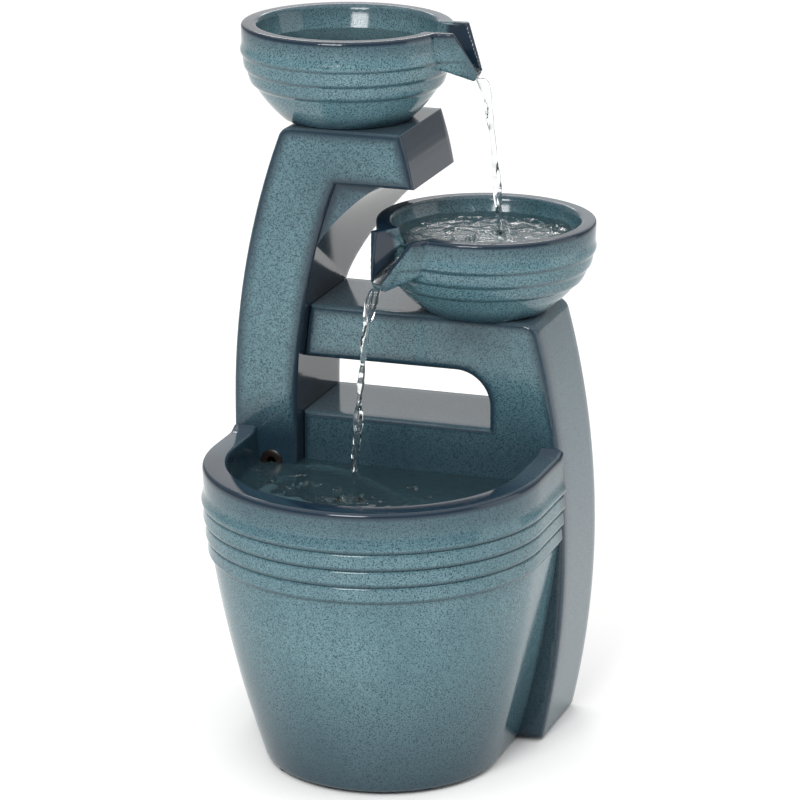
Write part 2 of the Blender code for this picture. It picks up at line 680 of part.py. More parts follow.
# ---------------------------------------------------------------- water inlet of the top bowl
def make_inlet_fitting():
    x, y = TOP_BOWL_CENTRE
    floor_z = TOP_ARM_Z + GAP + BOWL_FLOOR
    seal_low = floor_z + GAP
    flange_low = seal_low + SEAL_THICKNESS + GAP
    flange_high = flange_low + FITTING_FLANGE
    wall_under = TOP_ARM_Z - TOWER_WALL
    stem_low = wall_under - GAP - NUT_THICKNESS - 1 * MM
    barb_low = stem_low - FITTING_BARB_LENGTH
    seal = [(FITTING_RADIUS + GAP, seal_low), (FITTING_FLANGE_RADIUS, seal_low),
            (FITTING_FLANGE_RADIUS, seal_low + SEAL_THICKNESS),
            (FITTING_RADIUS + GAP, seal_low + SEAL_THICKNESS)]
    place("inlet_seal", turned(seal, 24, (x, y, 0)), black_rubber())
    tail = [(FITTING_BORE_RADIUS, barb_low), (HOSE_RADIUS - BARB_TAPER, barb_low),
            (HOSE_RADIUS, stem_low - 1.5 * MM), (HOSE_RADIUS, stem_low),
            (FITTING_RADIUS, stem_low), (FITTING_RADIUS, flange_low),
            (FITTING_FLANGE_RADIUS, flange_low), (FITTING_FLANGE_RADIUS, flange_high),
            (FITTING_BORE_RADIUS, flange_high)]
    place("inlet_fitting", turned(tail, 24, (x, y, 0)), black_plastic())
    nut_high = wall_under - GAP
    nut = cylinder(NUT_ACROSS / 2 / math.cos(math.pi / 6), nut_high - NUT_THICKNESS, nut_high, 6,
                   (x, y, 0))
    nut = place("inlet_nut", nut, black_plastic())
    boolean(nut, cylinder(FITTING_RADIUS + GAP, nut_high - 2 * NUT_THICKNESS, nut_high + 5 * MM, 24,
                          (x, y, 0)))
    cap_low = flange_high + GAP
    cap_high = cap_low + CAP_HEIGHT
    rim_high = cap_low + CAP_SKIN
    radius = FITTING_FLANGE_RADIUS
    dome = [(radius - CAP_SKIN, cap_low), (radius, cap_low), (radius, rim_high)]
    for angle in steps(math.radians(20), math.radians(70), 3):
        dome.append((radius * math.cos(angle), rim_high + (cap_high - rim_high) * math.sin(angle)))
    dome += [(FITTING_BORE_RADIUS, cap_high), (FITTING_BORE_RADIUS, cap_high - CAP_SKIN),
             (radius - 1.5 * CAP_SKIN, rim_high)]
    place("outlet_cap", turned(dome, 24, (x, y, 0)), black_plastic())
    return Vector((x, y, barb_low - GAP))


# ---------------------------------------------------------------- ports, hatch, drain, feet
def make_grommet(name, x, z, front_y, facing, bore, finish):
    """A rubber bush: its flange lies on the face at front_y, its barrel fills the hole."""
    barrel = PORT_RADIUS - GROMMET_CLEARANCE
    outer = GAP + GROMMET_FLANGE
    profile = [(bore, -TOWER_WALL), (barrel, -TOWER_WALL), (barrel, GAP),
               (GROMMET_FLANGE_RADIUS, GAP), (GROMMET_FLANGE_RADIUS, outer - 0.4 * MM),
               (GROMMET_FLANGE_RADIUS - 0.8 * MM, outer), (bore, outer)]
    place(name, turned(profile, 20, (x, front_y, z), (0, facing, 0)), finish)


def make_hatch():
    """A pull-off hatch behind the ports: a plate with a rim that enters the opening."""
    wide, tall = HATCH_WIDTH / 2, HATCH_HEIGHT / 2
    low_y, high_y = TOWER_BACK_Y - HATCH_THICKNESS, TOWER_BACK_Y
    hatch = place("rear_hatch", box((HATCH_X - wide, low_y, HATCH_Z - tall),
                                    (HATCH_X + wide, high_y, HATCH_Z + tall)), glazed_resin())
    inner_wide = wide - HATCH_LIP - HATCH_CLEARANCE
    inner_tall = tall - HATCH_LIP - HATCH_CLEARANCE
    boolean(hatch, box((HATCH_X - inner_wide, TOWER_BACK_Y - TOWER_WALL, HATCH_Z - inner_tall),
                       (HATCH_X + inner_wide, high_y - 0.5 * MM, HATCH_Z + inner_tall)), "UNION")
    # A finger scoop at the lower end, to pull it by.
    scoop_z = HATCH_Z - tall + 12 * MM
    boolean(hatch, cylinder(6 * MM, -1.2 * MM, 5 * MM, 20, (HATCH_X, TOWER_BACK_Y, scoop_z), (0, 1, 0)))


def make_drain_plug():
    floor_z = BASE_Z + BASIN_FLOOR
    flange_low = floor_z + GAP
    knob_low = flange_low + DRAIN_FLANGE + 0.5 * MM
    stem = DRAIN_RADIUS - DRAIN_SLACK
    profile = [(0, BASE_Z + 0.5 * MM), (stem - 0.5 * MM, BASE_Z + 0.5 * MM),
               (stem, floor_z - 2 * MM), (stem, flange_low),
               (DRAIN_FLANGE_RADIUS, flange_low), (DRAIN_FLANGE_RADIUS, flange_low + DRAIN_FLANGE),
               (DRAIN_KNOB_RADIUS - 0.7 * MM, knob_low),
               (DRAIN_KNOB_RADIUS - 1.2 * MM, knob_low + 0.6 * DRAIN_KNOB_HEIGHT),
               (DRAIN_KNOB_RADIUS, knob_low + DRAIN_KNOB_HEIGHT),
               (0, knob_low + DRAIN_KNOB_HEIGHT + 1 * MM)]
    place("drain_plug", turned(profile, 20, (DRAIN_X, DRAIN_Y, 0)), black_rubber())


def make_feet():
    rear_y = TOWER_BACK_Y - 17 * MM
    spots = {"foot_pad_centre": (0, 0), "foot_pad_front_left": (-36 * MM, -42 * MM),
             "foot_pad_front_right": (42 * MM, -42 * MM), "foot_pad_rear_left": (-72 * MM, rear_y),
             "foot_pad_rear_right": (72 * MM, rear_y)}
    for name, (x, y) in spots.items():
        place(name, cylinder(PAD_RADIUS, 0, PAD_THICKNESS, 20, (x, y, 0)), black_rubber())


# ---------------------------------------------------------------- pump
def make_pump():
    """A small submersible pump: its rotor turns on a ceramic shaft along X."""
    low_z = BASE_Z + BASIN_FLOOR + CUP_HEIGHT + 2 * GAP
    axis_z = low_z + PUMP_HEIGHT / 2
    end_x = PUMP_X + PUMP_LENGTH
    half = PUMP_WIDTH / 2
    along_x = (1, 0, 0)
    axis = (0, PUMP_Y, axis_z)

    high_z = low_z + PUMP_HEIGHT
    body = place("pump_body", box((PUMP_X, PUMP_Y - half, low_z), (end_x, PUMP_Y + half, high_z)),
                 black_plastic())
    bevel_edges(body, 2 * MM)
    rotor_well = ROTOR_RADIUS + ROTOR_CLEARANCE
    well_start = end_x - ROTOR_LENGTH - 2 * MM
    boolean(body, cylinder(rotor_well, well_start, end_x + 5 * MM, 24, axis, along_x))
    boolean(body, cylinder(SHAFT_RADIUS + SHAFT_CLEARANCE, well_start - 3 * MM, well_start + 1 * MM, 12,
                           axis, along_x))
    coil_low = (PUMP_X + PUMP_WALL, PUMP_Y - half + PUMP_WALL, low_z - 5 * MM)
    coil_high = (well_start - 4 * MM, PUMP_Y + half - PUMP_WALL, high_z - PUMP_WALL)
    boolean(body, box(coil_low, coil_high))
    shrink = Vector((GAP, GAP, 0))
    pack_low = Vector(coil_low) + shrink
    pack_low.z = low_z + 0.5 * MM
    pack_high = Vector(coil_high) - shrink - Vector((0, 0, GAP))
    place("pump_coil_pack", box(pack_low, pack_high), potting())
    boolean(body, cylinder(GLAND_RADIUS + GAP, PUMP_X - 2 * MM, PUMP_X + PUMP_WALL + 2 * MM, 16,
                           axis, along_x))

    gland = [(0, PUMP_X + 0.5 * MM), (GLAND_RADIUS, PUMP_X + 0.5 * MM), (GLAND_RADIUS, PUMP_X - GAP),
             (5 * MM, PUMP_X - GAP), (4.4 * MM, PUMP_X - 3 * MM), (3.4 * MM, PUMP_X - GLAND_LENGTH),
             (0, PUMP_X - GLAND_LENGTH)]
    place("pump_cable_gland", turned(gland, 16, axis, along_x), black_rubber())

    shaft_low, shaft_high = well_start - 2.5 * MM, end_x + VOLUTE_LENGTH - 1 * MM
    place("pump_shaft", cylinder(SHAFT_RADIUS, shaft_low, shaft_high, 12, axis, along_x), ceramic())

    rotor_bore = SHAFT_RADIUS + SHAFT_CLEARANCE
    rotor_low, rotor_high = well_start + 1 * MM, end_x - 0.5 * MM
    vane_high = rotor_high + VANE_LENGTH
    magnet = [(rotor_bore, rotor_low), (ROTOR_RADIUS, rotor_low), (ROTOR_RADIUS, rotor_high),
              (3.5 * MM, rotor_high), (3 * MM, vane_high), (rotor_bore, vane_high)]
    rotor = place("pump_impeller", turned(magnet, 24, axis, along_x), ferrite())
    for i in range(VANE_COUNT):
        vane = box((end_x - 1 * MM, -0.5 * MM, 2 * MM),
                   (vane_high, 0.5 * MM, VANE_RADIUS - VANE_TIP_CLEARANCE))
        turn = Matrix.Rotation(math.tau * i / VANE_COUNT, 4, "X")
        bmesh.ops.transform(vane, matrix=Matrix.Translation((0, PUMP_Y, axis_z)) @ turn, verts=vane.verts)
        boolean(rotor, vane, "UNION")

    volute_low, volute_high = end_x + GAP, end_x + VOLUTE_LENGTH
    reach = half - 2 * MM
    volute = place("pump_volute", box((volute_low, PUMP_Y - reach, low_z + 2 * MM),
                                      (volute_high, PUMP_Y + reach, high_z)), black_plastic())
    spigot_x = (volute_low + volute_high) / 2
    spigot_high = high_z + SPIGOT_LENGTH
    boolean(volute, cylinder(SPIGOT_RADIUS - 1.2 * MM, high_z - 2 * MM, spigot_high, 20,
                             (spigot_x, PUMP_Y, 0)), "UNION")
    boolean(volute, cylinder(VANE_RADIUS, volute_low - 2 * MM, volute_high - 2 * MM, 24, axis, along_x))
    boolean(volute, cylinder(SPIGOT_BORE_RADIUS, axis_z, spigot_high + SPIGOT_LENGTH, 16,
                             (spigot_x, PUMP_Y, 0)))
    # Two openings make the eye, and the web between them carries the front end of the shaft.
    for side in (-1, 1):
        middle = PUMP_Y + side * 4.5 * MM
        boolean(volute, box((volute_high - 3 * MM, middle - 2 * MM, axis_z - 4 * MM),
                            (volute_high + 2 * MM, middle + 2 * MM, axis_z + 4 * MM)))
    boolean(volute, cylinder(SHAFT_RADIUS + SHAFT_CLEARANCE, volute_low - 2 * MM,
                             volute_high - 0.6 * MM, 12, axis, along_x))

    adapter_low = high_z + GAP
    ledge = spigot_high + GAP
    adapter_high = ledge + 2 * MM
    inner, outer = SPIGOT_RADIUS - 1.2 * MM + GAP, SPIGOT_RADIUS + 0.8 * MM
    sleeve = [(inner, adapter_low), (outer, adapter_low), (outer, adapter_high - 1 * MM),
              (outer - 1 * MM, adapter_high), (SPIGOT_BORE_RADIUS, adapter_high),
              (SPIGOT_BORE_RADIUS, ledge), (inner, ledge)]
    place("outlet_adapter", turned(sleeve, 20, (spigot_x, PUMP_Y, 0)), grey_plastic())

    strainer_low, strainer_high = volute_high + GAP, volute_high + GAP + STRAINER_LENGTH
    strainer = place("strainer_cover", box((strainer_low, PUMP_Y - reach, low_z + 2 * MM),
                                           (strainer_high, PUMP_Y + reach, high_z - 1 * MM)),
                     black_plastic())
    bevel_edges(strainer, 1.2 * MM)
    skin = reach - STRAINER_WALL
    boolean(strainer, box((strainer_low - 5 * MM, PUMP_Y - skin, low_z + 2 * MM + STRAINER_WALL),
                          (strainer_high - STRAINER_WALL, PUMP_Y + skin, high_z - 1 * MM - STRAINER_WALL)))
    for i in range(SLOT_ROWS):
        slot_z = low_z + 6 * MM + i * SLOT_PITCH
        for side in (-1, 1):
            middle = PUMP_Y + side * (reach - 6 * MM)
            boolean(strainer, box((strainer_high - 2 * STRAINER_WALL, middle - SLOT_LENGTH / 2, slot_z),
                                  (strainer_high + 2 * MM, middle + SLOT_LENGTH / 2, slot_z + SLOT_HEIGHT)))

    slide_x = strainer_high + GAP
    slide = box((slide_x, PUMP_Y - SLIDER_WIDTH / 2, low_z + 5 * MM),
                (slide_x + 1.5 * MM, PUMP_Y + SLIDER_WIDTH / 2, low_z + 17 * MM))
    slider = place("flow_slider", slide, grey_plastic())
    boolean(slider, box((slide_x + 1 * MM, PUMP_Y - SLIDER_WIDTH / 3, low_z + 9 * MM),
                        (slide_x + 3 * MM, PUMP_Y + SLIDER_WIDTH / 3, low_z + 11 * MM)), "UNION")

    cup_low = BASE_Z + BASIN_FLOOR + GAP
    corners = (("rear_left", CUP_REAR, -1), ("rear_right", CUP_REAR, 1),
               ("front_left", CUP_FRONT, -1), ("front_right", CUP_FRONT, 1))
    for name, along, side in corners:
        spot = (PUMP_X + along, PUMP_Y + side * (half - CUP_RADIUS), 0)
        cup = [(0, cup_low + 1.5 * MM), (CUP_RADIUS - 2 * MM, cup_low + 1 * MM), (CUP_RADIUS, cup_low),
               (CUP_RADIUS, cup_low + 0.8 * MM), (2 * MM, cup_low + 2.4 * MM),
               (2 * MM, cup_low + CUP_HEIGHT), (0, cup_low + CUP_HEIGHT)]
        place(f"suction_cup_{name}", turned(cup, 16, spot), clear_hose())
    return Vector((spigot_x, PUMP_Y, adapter_high + GAP))


# ---------------------------------------------------------------- hose
def smooth_route(points, spacing):
    """Catmull-Rom through the points, read at nearly even spacing."""
    ends = [points[0] * 2 - points[1]] + points + [points[-1] * 2 - points[-2]]
    fine = []
    for a, b, c, d in zip(ends, ends[1:], ends[2:], ends[3:]):
        for i in range(24):
            t = i / 24
            fine.append(((b * 2) + (c - a) * t + (a * 2 - b * 5 + c * 4 - d) * t * t
                         + (b * 3 - a - c * 3 + d) * t**3) / 2)
    fine.append(points[-1])
    # The first stretch leads straight out of the pump's adapter.
    route = points[:2]
    for point in fine[24:]:
        if (point - route[-1]).length >= spacing:
            route.append(point)
    # The last stretch leads straight into the fitting.
    while (route[-1] - points[-1]).length < (points[-2] - points[-1]).length * 1.2:
        route.pop()
    return route + points[-2:]


def make_hose(start, end):
    """From the pump up to the port, through it, and up the hollow column to the top bowl."""
    port = Vector((CABLE_PORT_X, LEFT_FRONT_Y, HOSE_PORT_Z))
    duct_y = TOP_BOWL_CENTRE.y
    along = [start, start + Vector((0, 0, 5 * MM)), start + Vector((0, 0, 14 * MM))]
    for share, lift in ((0.25, 0.62), (0.62, 0.92)):
        point = start.lerp(port + FRONT * 22 * MM, share)
        point.z = start.z + (port.z - start.z) * lift
        along.append(point)
    along += [port + FRONT * reach * MM for reach in (16, 9, 3, -3, -9, -15)]
    for z, forward in ((135 * MM, 5 * MM), (165 * MM, 1 * MM), (200 * MM, 0), (240 * MM, 0), (278 * MM, 0)):
        x = (column_outer_x(z) + column_inner_x(z)) / 2
        along.append(Vector((x, duct_y - forward, z)))
    along.append(Vector((end.x - 12 * MM, duct_y, end.z - 24 * MM)))
    along.append(Vector((end.x - 3 * MM, duct_y, end.z - 11 * MM)))
    along += [end - Vector((0, 0, 4 * MM)), end]
    route = smooth_route(along, 7 * MM)
    curve = bpy.data.curves.new("hose", "CURVE")
    curve.dimensions = "3D"
    curve.bevel_depth = HOSE_RADIUS
    curve.bevel_resolution = 3
    curve.use_fill_caps = True
    spline = curve.splines.new("POLY")
    spline.points.add(len(route) - 1)
    for spot, point in zip(spline.points, route):
        spot.co = (*point, 1)
    hose = bpy.data.objects.new("hose", curve)
    hose.data.materials.append(clear_hose())
    bpy.context.scene.collection.objects.link(hose)


def main():
    clear_scene()
    make_basin()
    make_left_tower()
    make_right_tower()
    make_base_plates()
    make_bowls()
    hose_end = make_inlet_fitting()
    for name, z, bore in (("cable_grommet", CABLE_PORT_Z, CABLE_RADIUS),
                          ("hose_grommet", HOSE_PORT_Z, HOSE_RADIUS + GAP)):
        make_grommet(name, CABLE_PORT_X, z, LEFT_FRONT_Y, -1, bore, brown_rubber())
    make_grommet("cable_exit_bush", CABLE_PORT_X, CABLE_EXIT_Z, TOWER_BACK_Y, 1, CABLE_RADIUS,
                 black_rubber())
    make_hatch()
    make_drain_plug()
    make_feet()
    hose_start = make_pump()
    make_hose(hose_start, hose_end)


main()
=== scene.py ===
"""Looks of the tabletop water fountain: glazed cast-resin pieces, water, and the fittings inside.

Everything is in metres, +Z up, with the basin's round front towards -Y.
"""

import logging
import math
import random
from dataclasses import dataclass, field
from enum import Enum
from typing import Callable, Iterable, Sequence

import bmesh
import bpy
import numpy as np
from mathutils import Matrix, Vector


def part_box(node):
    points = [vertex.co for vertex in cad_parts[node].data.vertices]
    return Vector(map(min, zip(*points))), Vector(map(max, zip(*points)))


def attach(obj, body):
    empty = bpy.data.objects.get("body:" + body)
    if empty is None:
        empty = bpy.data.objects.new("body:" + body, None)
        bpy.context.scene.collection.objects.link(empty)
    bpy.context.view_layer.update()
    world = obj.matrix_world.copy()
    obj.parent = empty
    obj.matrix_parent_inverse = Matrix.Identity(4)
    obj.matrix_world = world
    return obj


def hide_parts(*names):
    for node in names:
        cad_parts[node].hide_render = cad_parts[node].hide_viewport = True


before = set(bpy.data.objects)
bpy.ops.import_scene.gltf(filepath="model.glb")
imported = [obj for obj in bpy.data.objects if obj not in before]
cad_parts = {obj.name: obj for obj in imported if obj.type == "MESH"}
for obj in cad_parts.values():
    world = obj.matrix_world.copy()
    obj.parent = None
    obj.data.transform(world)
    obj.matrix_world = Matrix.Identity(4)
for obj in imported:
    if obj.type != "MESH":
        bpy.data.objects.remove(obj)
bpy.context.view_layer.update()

MM = 0.001
LOG = logging.getLogger("fountain")

Points = np.ndarray
Outline = list[tuple[float, float]]


class Node(str, Enum):
    """The kinds of shader node that the finishes are built from."""

    COORDINATES = "ShaderNodeTexCoord"
    MAPPING = "ShaderNodeMapping"
    ATTRIBUTE = "ShaderNodeAttribute"
    NOISE = "ShaderNodeTexNoise"
    VORONOI = "ShaderNodeTexVoronoi"
    RANGE = "ShaderNodeMapRange"
    MIX = "ShaderNodeMix"
    MATH = "ShaderNodeMath"
    BUMP = "ShaderNodeBump"


# ---------------------------------------------------------------- colour and shader helpers
def srgb(code: str) -> tuple[float, float, float, float]:
    """Turn a hex sRGB colour into linear RGBA.

    Args:
        code: Six hex digits with a leading hash.

    Returns:
        Linear red, green and blue, and an alpha of 1.
    """
    channels = [int(code[i:i + 2], 16) / 255 for i in (1, 3, 5)]
    linear = [c / 12.92 if c <= 0.04045 else ((c + 0.055) / 1.055) ** 2.4 for c in channels]
    return (*linear, 1.0)


def add_node(tree: bpy.types.NodeTree, kind: Node, settings: dict | None = None,
             links: dict | None = None) -> bpy.types.Node:
    """Add one shader node with its settings and its incoming links.

    Args:
        tree: The material's node tree.
        kind: Which node to add.
        settings: Socket names or numbers, or node properties, with their values.
        links: Socket names or numbers, with the output that feeds each.

    Returns:
        The new node.
    """
    made = tree.nodes.new(kind.value)
    for name, value in (settings or {}).items():
        if isinstance(name, str) and hasattr(made, name) and name not in made.inputs:
            setattr(made, name, value)
        else:
            made.inputs[name].default_value = value
    for name, source in (links or {}).items():
        tree.links.new(source, made.inputs[name])
    return made


def mix(tree: bpy.types.NodeTree, share: object, under: object, over: object) -> bpy.types.NodeSocket:
    """Blend two colours.

    Args:
        tree: The material's node tree.
        share: How much of the second one shows: a socket.
        under: The first colour, a socket or a linear RGBA.
        over: The second colour, a socket or a linear RGBA.

    Returns:
        The blended colour.
    """
    made = add_node(tree, Node.MIX, {"data_type": "RGBA"}, {0: share})
    for place, colour in ((6, under), (7, over)):
        if isinstance(colour, tuple):
            made.inputs[place].default_value = colour
        else:
            tree.links.new(colour, made.inputs[place])
    return made.outputs[2]


def fade(tree: bpy.types.NodeTree, value: bpy.types.NodeSocket, start: float, end: float,
         high: float = 1.0, low: float = 0.0) -> bpy.types.NodeSocket:
    """Map a value that runs from start to end onto low to high, and clamp it.

    Args:
        tree: The material's node tree.
        value: The value's socket.
        start: The value that gives low.
        end: The value that gives high.
        high: The result at end.
        low: The result at start.

    Returns:
        The mapped value.
    """
    return add_node(tree, Node.RANGE, {"From Min": start, "From Max": end, "To Min": low, "To Max": high},
                    {"Value": value}).outputs[0]


def noise(tree: bpy.types.NodeTree, place: bpy.types.NodeSocket, size: float,
          **settings: float) -> bpy.types.NodeSocket:
    """A noise pattern.

    Args:
        tree: The material's node tree.
        place: The coordinates it reads.
        size: The width of its features.
        **settings: The noise node's other inputs.

    Returns:
        Its value, round 0.5.
    """
    return add_node(tree, Node.NOISE, {"Scale": 1 / size, **settings}, {"Vector": place}).outputs["Fac"]


def new_material(name: str,
                 **sockets: object) -> tuple[bpy.types.Material, bpy.types.NodeTree, bpy.types.Node]:
    """Start a material on a Principled shader.

    Args:
        name: The material's name.
        **sockets: Constant values for the shader, with underscores for spaces.

    Returns:
        The material, its node tree and its shader.
    """
    material = bpy.data.materials.new(name)
    material.use_nodes = True
    shader = material.node_tree.nodes["Principled BSDF"]
    for socket, value in sockets.items():
        shader.inputs[socket.replace("_", " ")].default_value = value
    return material, material.node_tree, shader


# ---------------------------------------------------------------- finishes
@dataclass(frozen=True)
class GlazedResin:
    """Cast polyester resin, sprayed to look like a reactive ceramic glaze and lacquered.

    The eye sees a teal ground full of fine dark and pale specks. The spray runs to navy along edges and rims;
    painted shade darkens it the same way in creases and towards the feet. A plum grey lies on rims and on
    side
    and upward faces: partly the glaze's own colour, partly painted sheen that stands for the bright room's
    reflection.
    """

    name: str = "glazed_resin"
    ground: str = "#4C6971"
    pale: str = "#698990"
    speck: str = "#142A33"
    navy_and_shade: str = "#102231"
    shade: str = "#355561"
    plum_and_sheen_colour: str = "#424E59"
    plum_and_sheen_pale: str = "#4B5660"
    speck_size: float = 0.78 * MM      # drawn a little coarser than the sprayed dots, so that they show
    cloud_size: float = 55 * MM
    streak_size: float = 2.5 * MM
    dot_spacing: float = 1.9           # in speck sizes
    dots_kept: float = 0.33            # share of the dots that are dark

    def material(self) -> bpy.types.Material:
        """Build the finish from the piece's attributes: navy glaze with painted shade, plum with painted
        sheen.

        Returns:
            The material.
        """
        material, tree, shader = new_material(self.name, IOR=1.47, Specular_IOR_Level=0.0,
                                              Coat_Weight=0.8, Coat_Roughness=0.11, Coat_IOR=1.5)
        place = add_node(tree, Node.COORDINATES).outputs["Object"]
        glaze_depth_and_shade = add_node(tree, Node.ATTRIBUTE, {"attribute_name": "glaze_depth_and_shade"}).outputs["Fac"]
        plum_and_sheen = add_node(tree, Node.ATTRIBUTE, {"attribute_name": "plum_and_sheen"}).outputs["Fac"]
        grain = noise(tree, place, self.speck_size, Detail=2.0, Roughness=0.65)
        cloud = noise(tree, place, self.cloud_size, Detail=3.0, Roughness=0.55)
        # The ground: teal with paler grains, then dark grains, then a few round sprayed dots.
        ground = mix(tree, fade(tree, grain, 0.42, 0.68), srgb(self.ground), srgb(self.pale))
        ground = mix(tree, fade(tree, grain, 0.47, 0.34, 0.95), ground, srgb(self.speck))
        dots = add_node(tree, Node.VORONOI, {"Scale": 1 / (self.dot_spacing * self.speck_size)},
                        {"Vector": place})
        dot_share = fade(tree, dots.outputs["Distance"], 0.30, 0.20, 0.85)
        chosen = add_node(tree, Node.MATH, {"operation": "LESS_THAN", 1: self.dots_kept},
                          {0: dots.outputs["Color"]})
        dot_share = add_node(tree, Node.MATH, {"operation": "MULTIPLY"}, {0: dot_share, 1: chosen.outputs[0]})
        ground = mix(tree, dot_share.outputs[0], ground, srgb(self.speck))
        ground = mix(tree, fade(tree, cloud, 0.62, 0.36, 0.32), ground, srgb(self.shade))
        # Where the glaze ran thick it goes navy, and painted shade darkens it the same way.
        # The grains make the edge ragged.
        ragged = add_node(tree, Node.MATH, {"operation": "MULTIPLY_ADD", 1: 0.34}, {0: grain, 2: glaze_depth_and_shade})
        ground = mix(tree, fade(tree, ragged.outputs[0], 0.22, 1.05, 0.98), ground, srgb(self.navy_and_shade))
        # The plum glaze and the painted sheen lie over it in soft upright streaks.
        upright = add_node(tree, Node.MAPPING, {"Scale": (1.0, 1.0, 0.16)}, {"Vector": place}).outputs[0]
        streak = noise(tree, upright, self.streak_size, Detail=3.0)
        plum_and_sheen_colour = mix(tree, streak, srgb(self.plum_and_sheen_colour), srgb(self.plum_and_sheen_pale))
        plum_and_sheen_streaked = add_node(tree, Node.MATH, {"operation": "MULTIPLY_ADD", 1: 0.25}, {0: streak, 2: plum_and_sheen})
        ground = mix(tree, fade(tree, plum_and_sheen_streaked.outputs[0], 0.16, 1.1, 0.95), ground, plum_and_sheen_colour)
        tree.links.new(ground, shader.inputs["Base Color"])
        tree.links.new(fade(tree, cloud, 0, 1, 0.46, 0.30), shader.inputs["Roughness"])
        bump = add_node(tree, Node.BUMP, {"Strength": 0.10, "Distance": 0.12 * MM}, {"Height": grain})
        tree.links.new(bump.outputs[0], shader.inputs["Normal"])
        tree.links.new(bump.outputs[0], shader.inputs["Coat Normal"])
        return material


@dataclass(frozen=True)
class ClearWater:
    """Moving tap water: no colour of its own, sharp glints on its ripples, the wet resin seen through it."""

    name: str = "clear_water"
    ripple_size: float = 9 * MM
    ripple_depth: float = 0.6 * MM
    strength: float = 0.35
    colour: str = "#F3F8F8"
    clear: float = 1.0                 # the rest scatters on fine bubbles

    def material(self) -> bpy.types.Material:
        """Build the finish.

        Returns:
            The material.
        """
        material, tree, shader = new_material(self.name, Base_Color=srgb(self.colour), IOR=1.333,
                                              Transmission_Weight=self.clear, Roughness=0.012)
        place = add_node(tree, Node.COORDINATES).outputs["Object"]
        ripple = noise(tree, place, self.ripple_size, Detail=3.0, Distortion=0.8)
        bump = add_node(tree, Node.BUMP, {"Strength": self.strength, "Distance": self.ripple_depth},
                        {"Height": ripple})
        tree.links.new(bump.outputs[0], shader.inputs["Normal"])
        return material


@dataclass(frozen=True)
class Moulded:
    """A moulded plastic, rubber, sintered or cast part: even colour, a fine grain, and handling marks."""

    name: str
    colour: str
    worn: str
    roughness: float
    grain: float = 0.5 * MM
    depth: float = 0.05 * MM
    transmission: float = 0.0

    def material(self) -> bpy.types.Material:
        """Build the finish.

        Returns:
            The material.
        """
        material, tree, shader = new_material(self.name, IOR=1.5, Transmission_Weight=self.transmission)
        place = add_node(tree, Node.COORDINATES).outputs["Object"]
        grain = noise(tree, place, self.grain, Detail=2.0)
        marks = noise(tree, place, 16 * self.grain, Detail=4.0)
        colour = mix(tree, fade(tree, marks, 0.45, 0.75, 0.6), srgb(self.colour), srgb(self.worn))
        tree.links.new(colour, shader.inputs["Base Color"])
        rough = fade(tree, marks, 0, 1, self.roughness + 0.1, self.roughness - 0.06)
        tree.links.new(rough, shader.inputs["Roughness"])
        bump = add_node(tree, Node.BUMP, {"Strength": 0.3, "Distance": self.depth}, {"Height": grain})
        tree.links.new(bump.outputs[0], shader.inputs["Normal"])
        return material


# ---------------------------------------------------------------- mesh helpers
def steps(start: float, end: float, count: int) -> list[float]:
    """Evenly spaced values from start to end, both included."""
    return [start + (end - start) * i / count for i in range(count + 1)]


def smooth(value: Points | float, low: float, high: float) -> Points:
    """0 below low, 1 above high, and an even S between them; the other way round if low is the larger."""
    share = np.clip((np.asarray(value, float) - low) / (high - low), 0, 1)
    return share * share * (3 - 2 * share)


def chain(bm: bmesh.types.BMesh, points: Iterable[Sequence[float]], closed: bool = False) -> list:
    """Vertices and the edges that join them in order.

    Args:
        bm: The mesh to add them to.
        points: Their places.
        closed: Whether the last joins the first.

    Returns:
        The vertices and edges, as geometry for an operator.
    """
    verts = [bm.verts.new(point) for point in points]
    follow = verts[1:] + verts[:1] if closed else verts[1:]
    edges = [bm.edges.new(pair) for pair in zip(verts, follow) if any(v.co.xy.length for v in pair)]
    return verts + edges


def verts_of(geometry: Iterable[object]) -> list[bmesh.types.BMVert]:
    """The vertices among an operator's results."""
    return [item for item in geometry if isinstance(item, bmesh.types.BMVert)]


def turned(profile: Outline, count: int, centre: Sequence[float] = (0, 0, 0)) -> bmesh.types.BMesh:
    """Spin a closed (radius, height) profile a full turn about a vertical axis.

    Args:
        profile: Its points, with radius 0 where it meets the axis.
        count: Steps round.
        centre: A point on the axis.

    Returns:
        The turned mesh.
    """
    bm = bmesh.new()
    geometry = chain(bm, [(radius, 0, height) for radius, height in profile], closed=True)
    bmesh.ops.spin(bm, geom=geometry, cent=(0, 0, 0), axis=(0, 0, 1), angle=math.tau, steps=count,
                   use_merge=True, use_duplicate=False)
    bmesh.ops.remove_doubles(bm, verts=bm.verts, dist=1e-7)
    bmesh.ops.recalc_face_normals(bm, faces=bm.faces)
    bmesh.ops.translate(bm, vec=centre, verts=bm.verts)
    return bm


def hull(points: Iterable[Vector]) -> bmesh.types.BMesh:
    """The convex solid round some points.

    Args:
        points: Its corners, and perhaps points inside it.

    Returns:
        The solid.
    """
    bm = bmesh.new()
    for point in points:
        bm.verts.new(point)
    made = bmesh.ops.convex_hull(bm, input=bm.verts)
    bmesh.ops.delete(bm, geom=verts_of(made["geom_interior"]), context="VERTS")
    bmesh.ops.dissolve_limit(bm, angle_limit=math.radians(2), verts=bm.verts, edges=bm.edges)
    return bm


def box(low: Sequence[float], high: Sequence[float]) -> bmesh.types.BMesh:
    """A block between two corners.

    Args:
        low: Its lower corner.
        high: Its upper corner.

    Returns:
        The block.
    """
    bm = bmesh.new()
    bmesh.ops.create_cube(bm, size=1)
    bmesh.ops.scale(bm, vec=[b - a for a, b in zip(low, high)], verts=bm.verts)
    bmesh.ops.translate(bm, vec=[(a + b) / 2 for a, b in zip(low, high)], verts=bm.verts)
    return bm


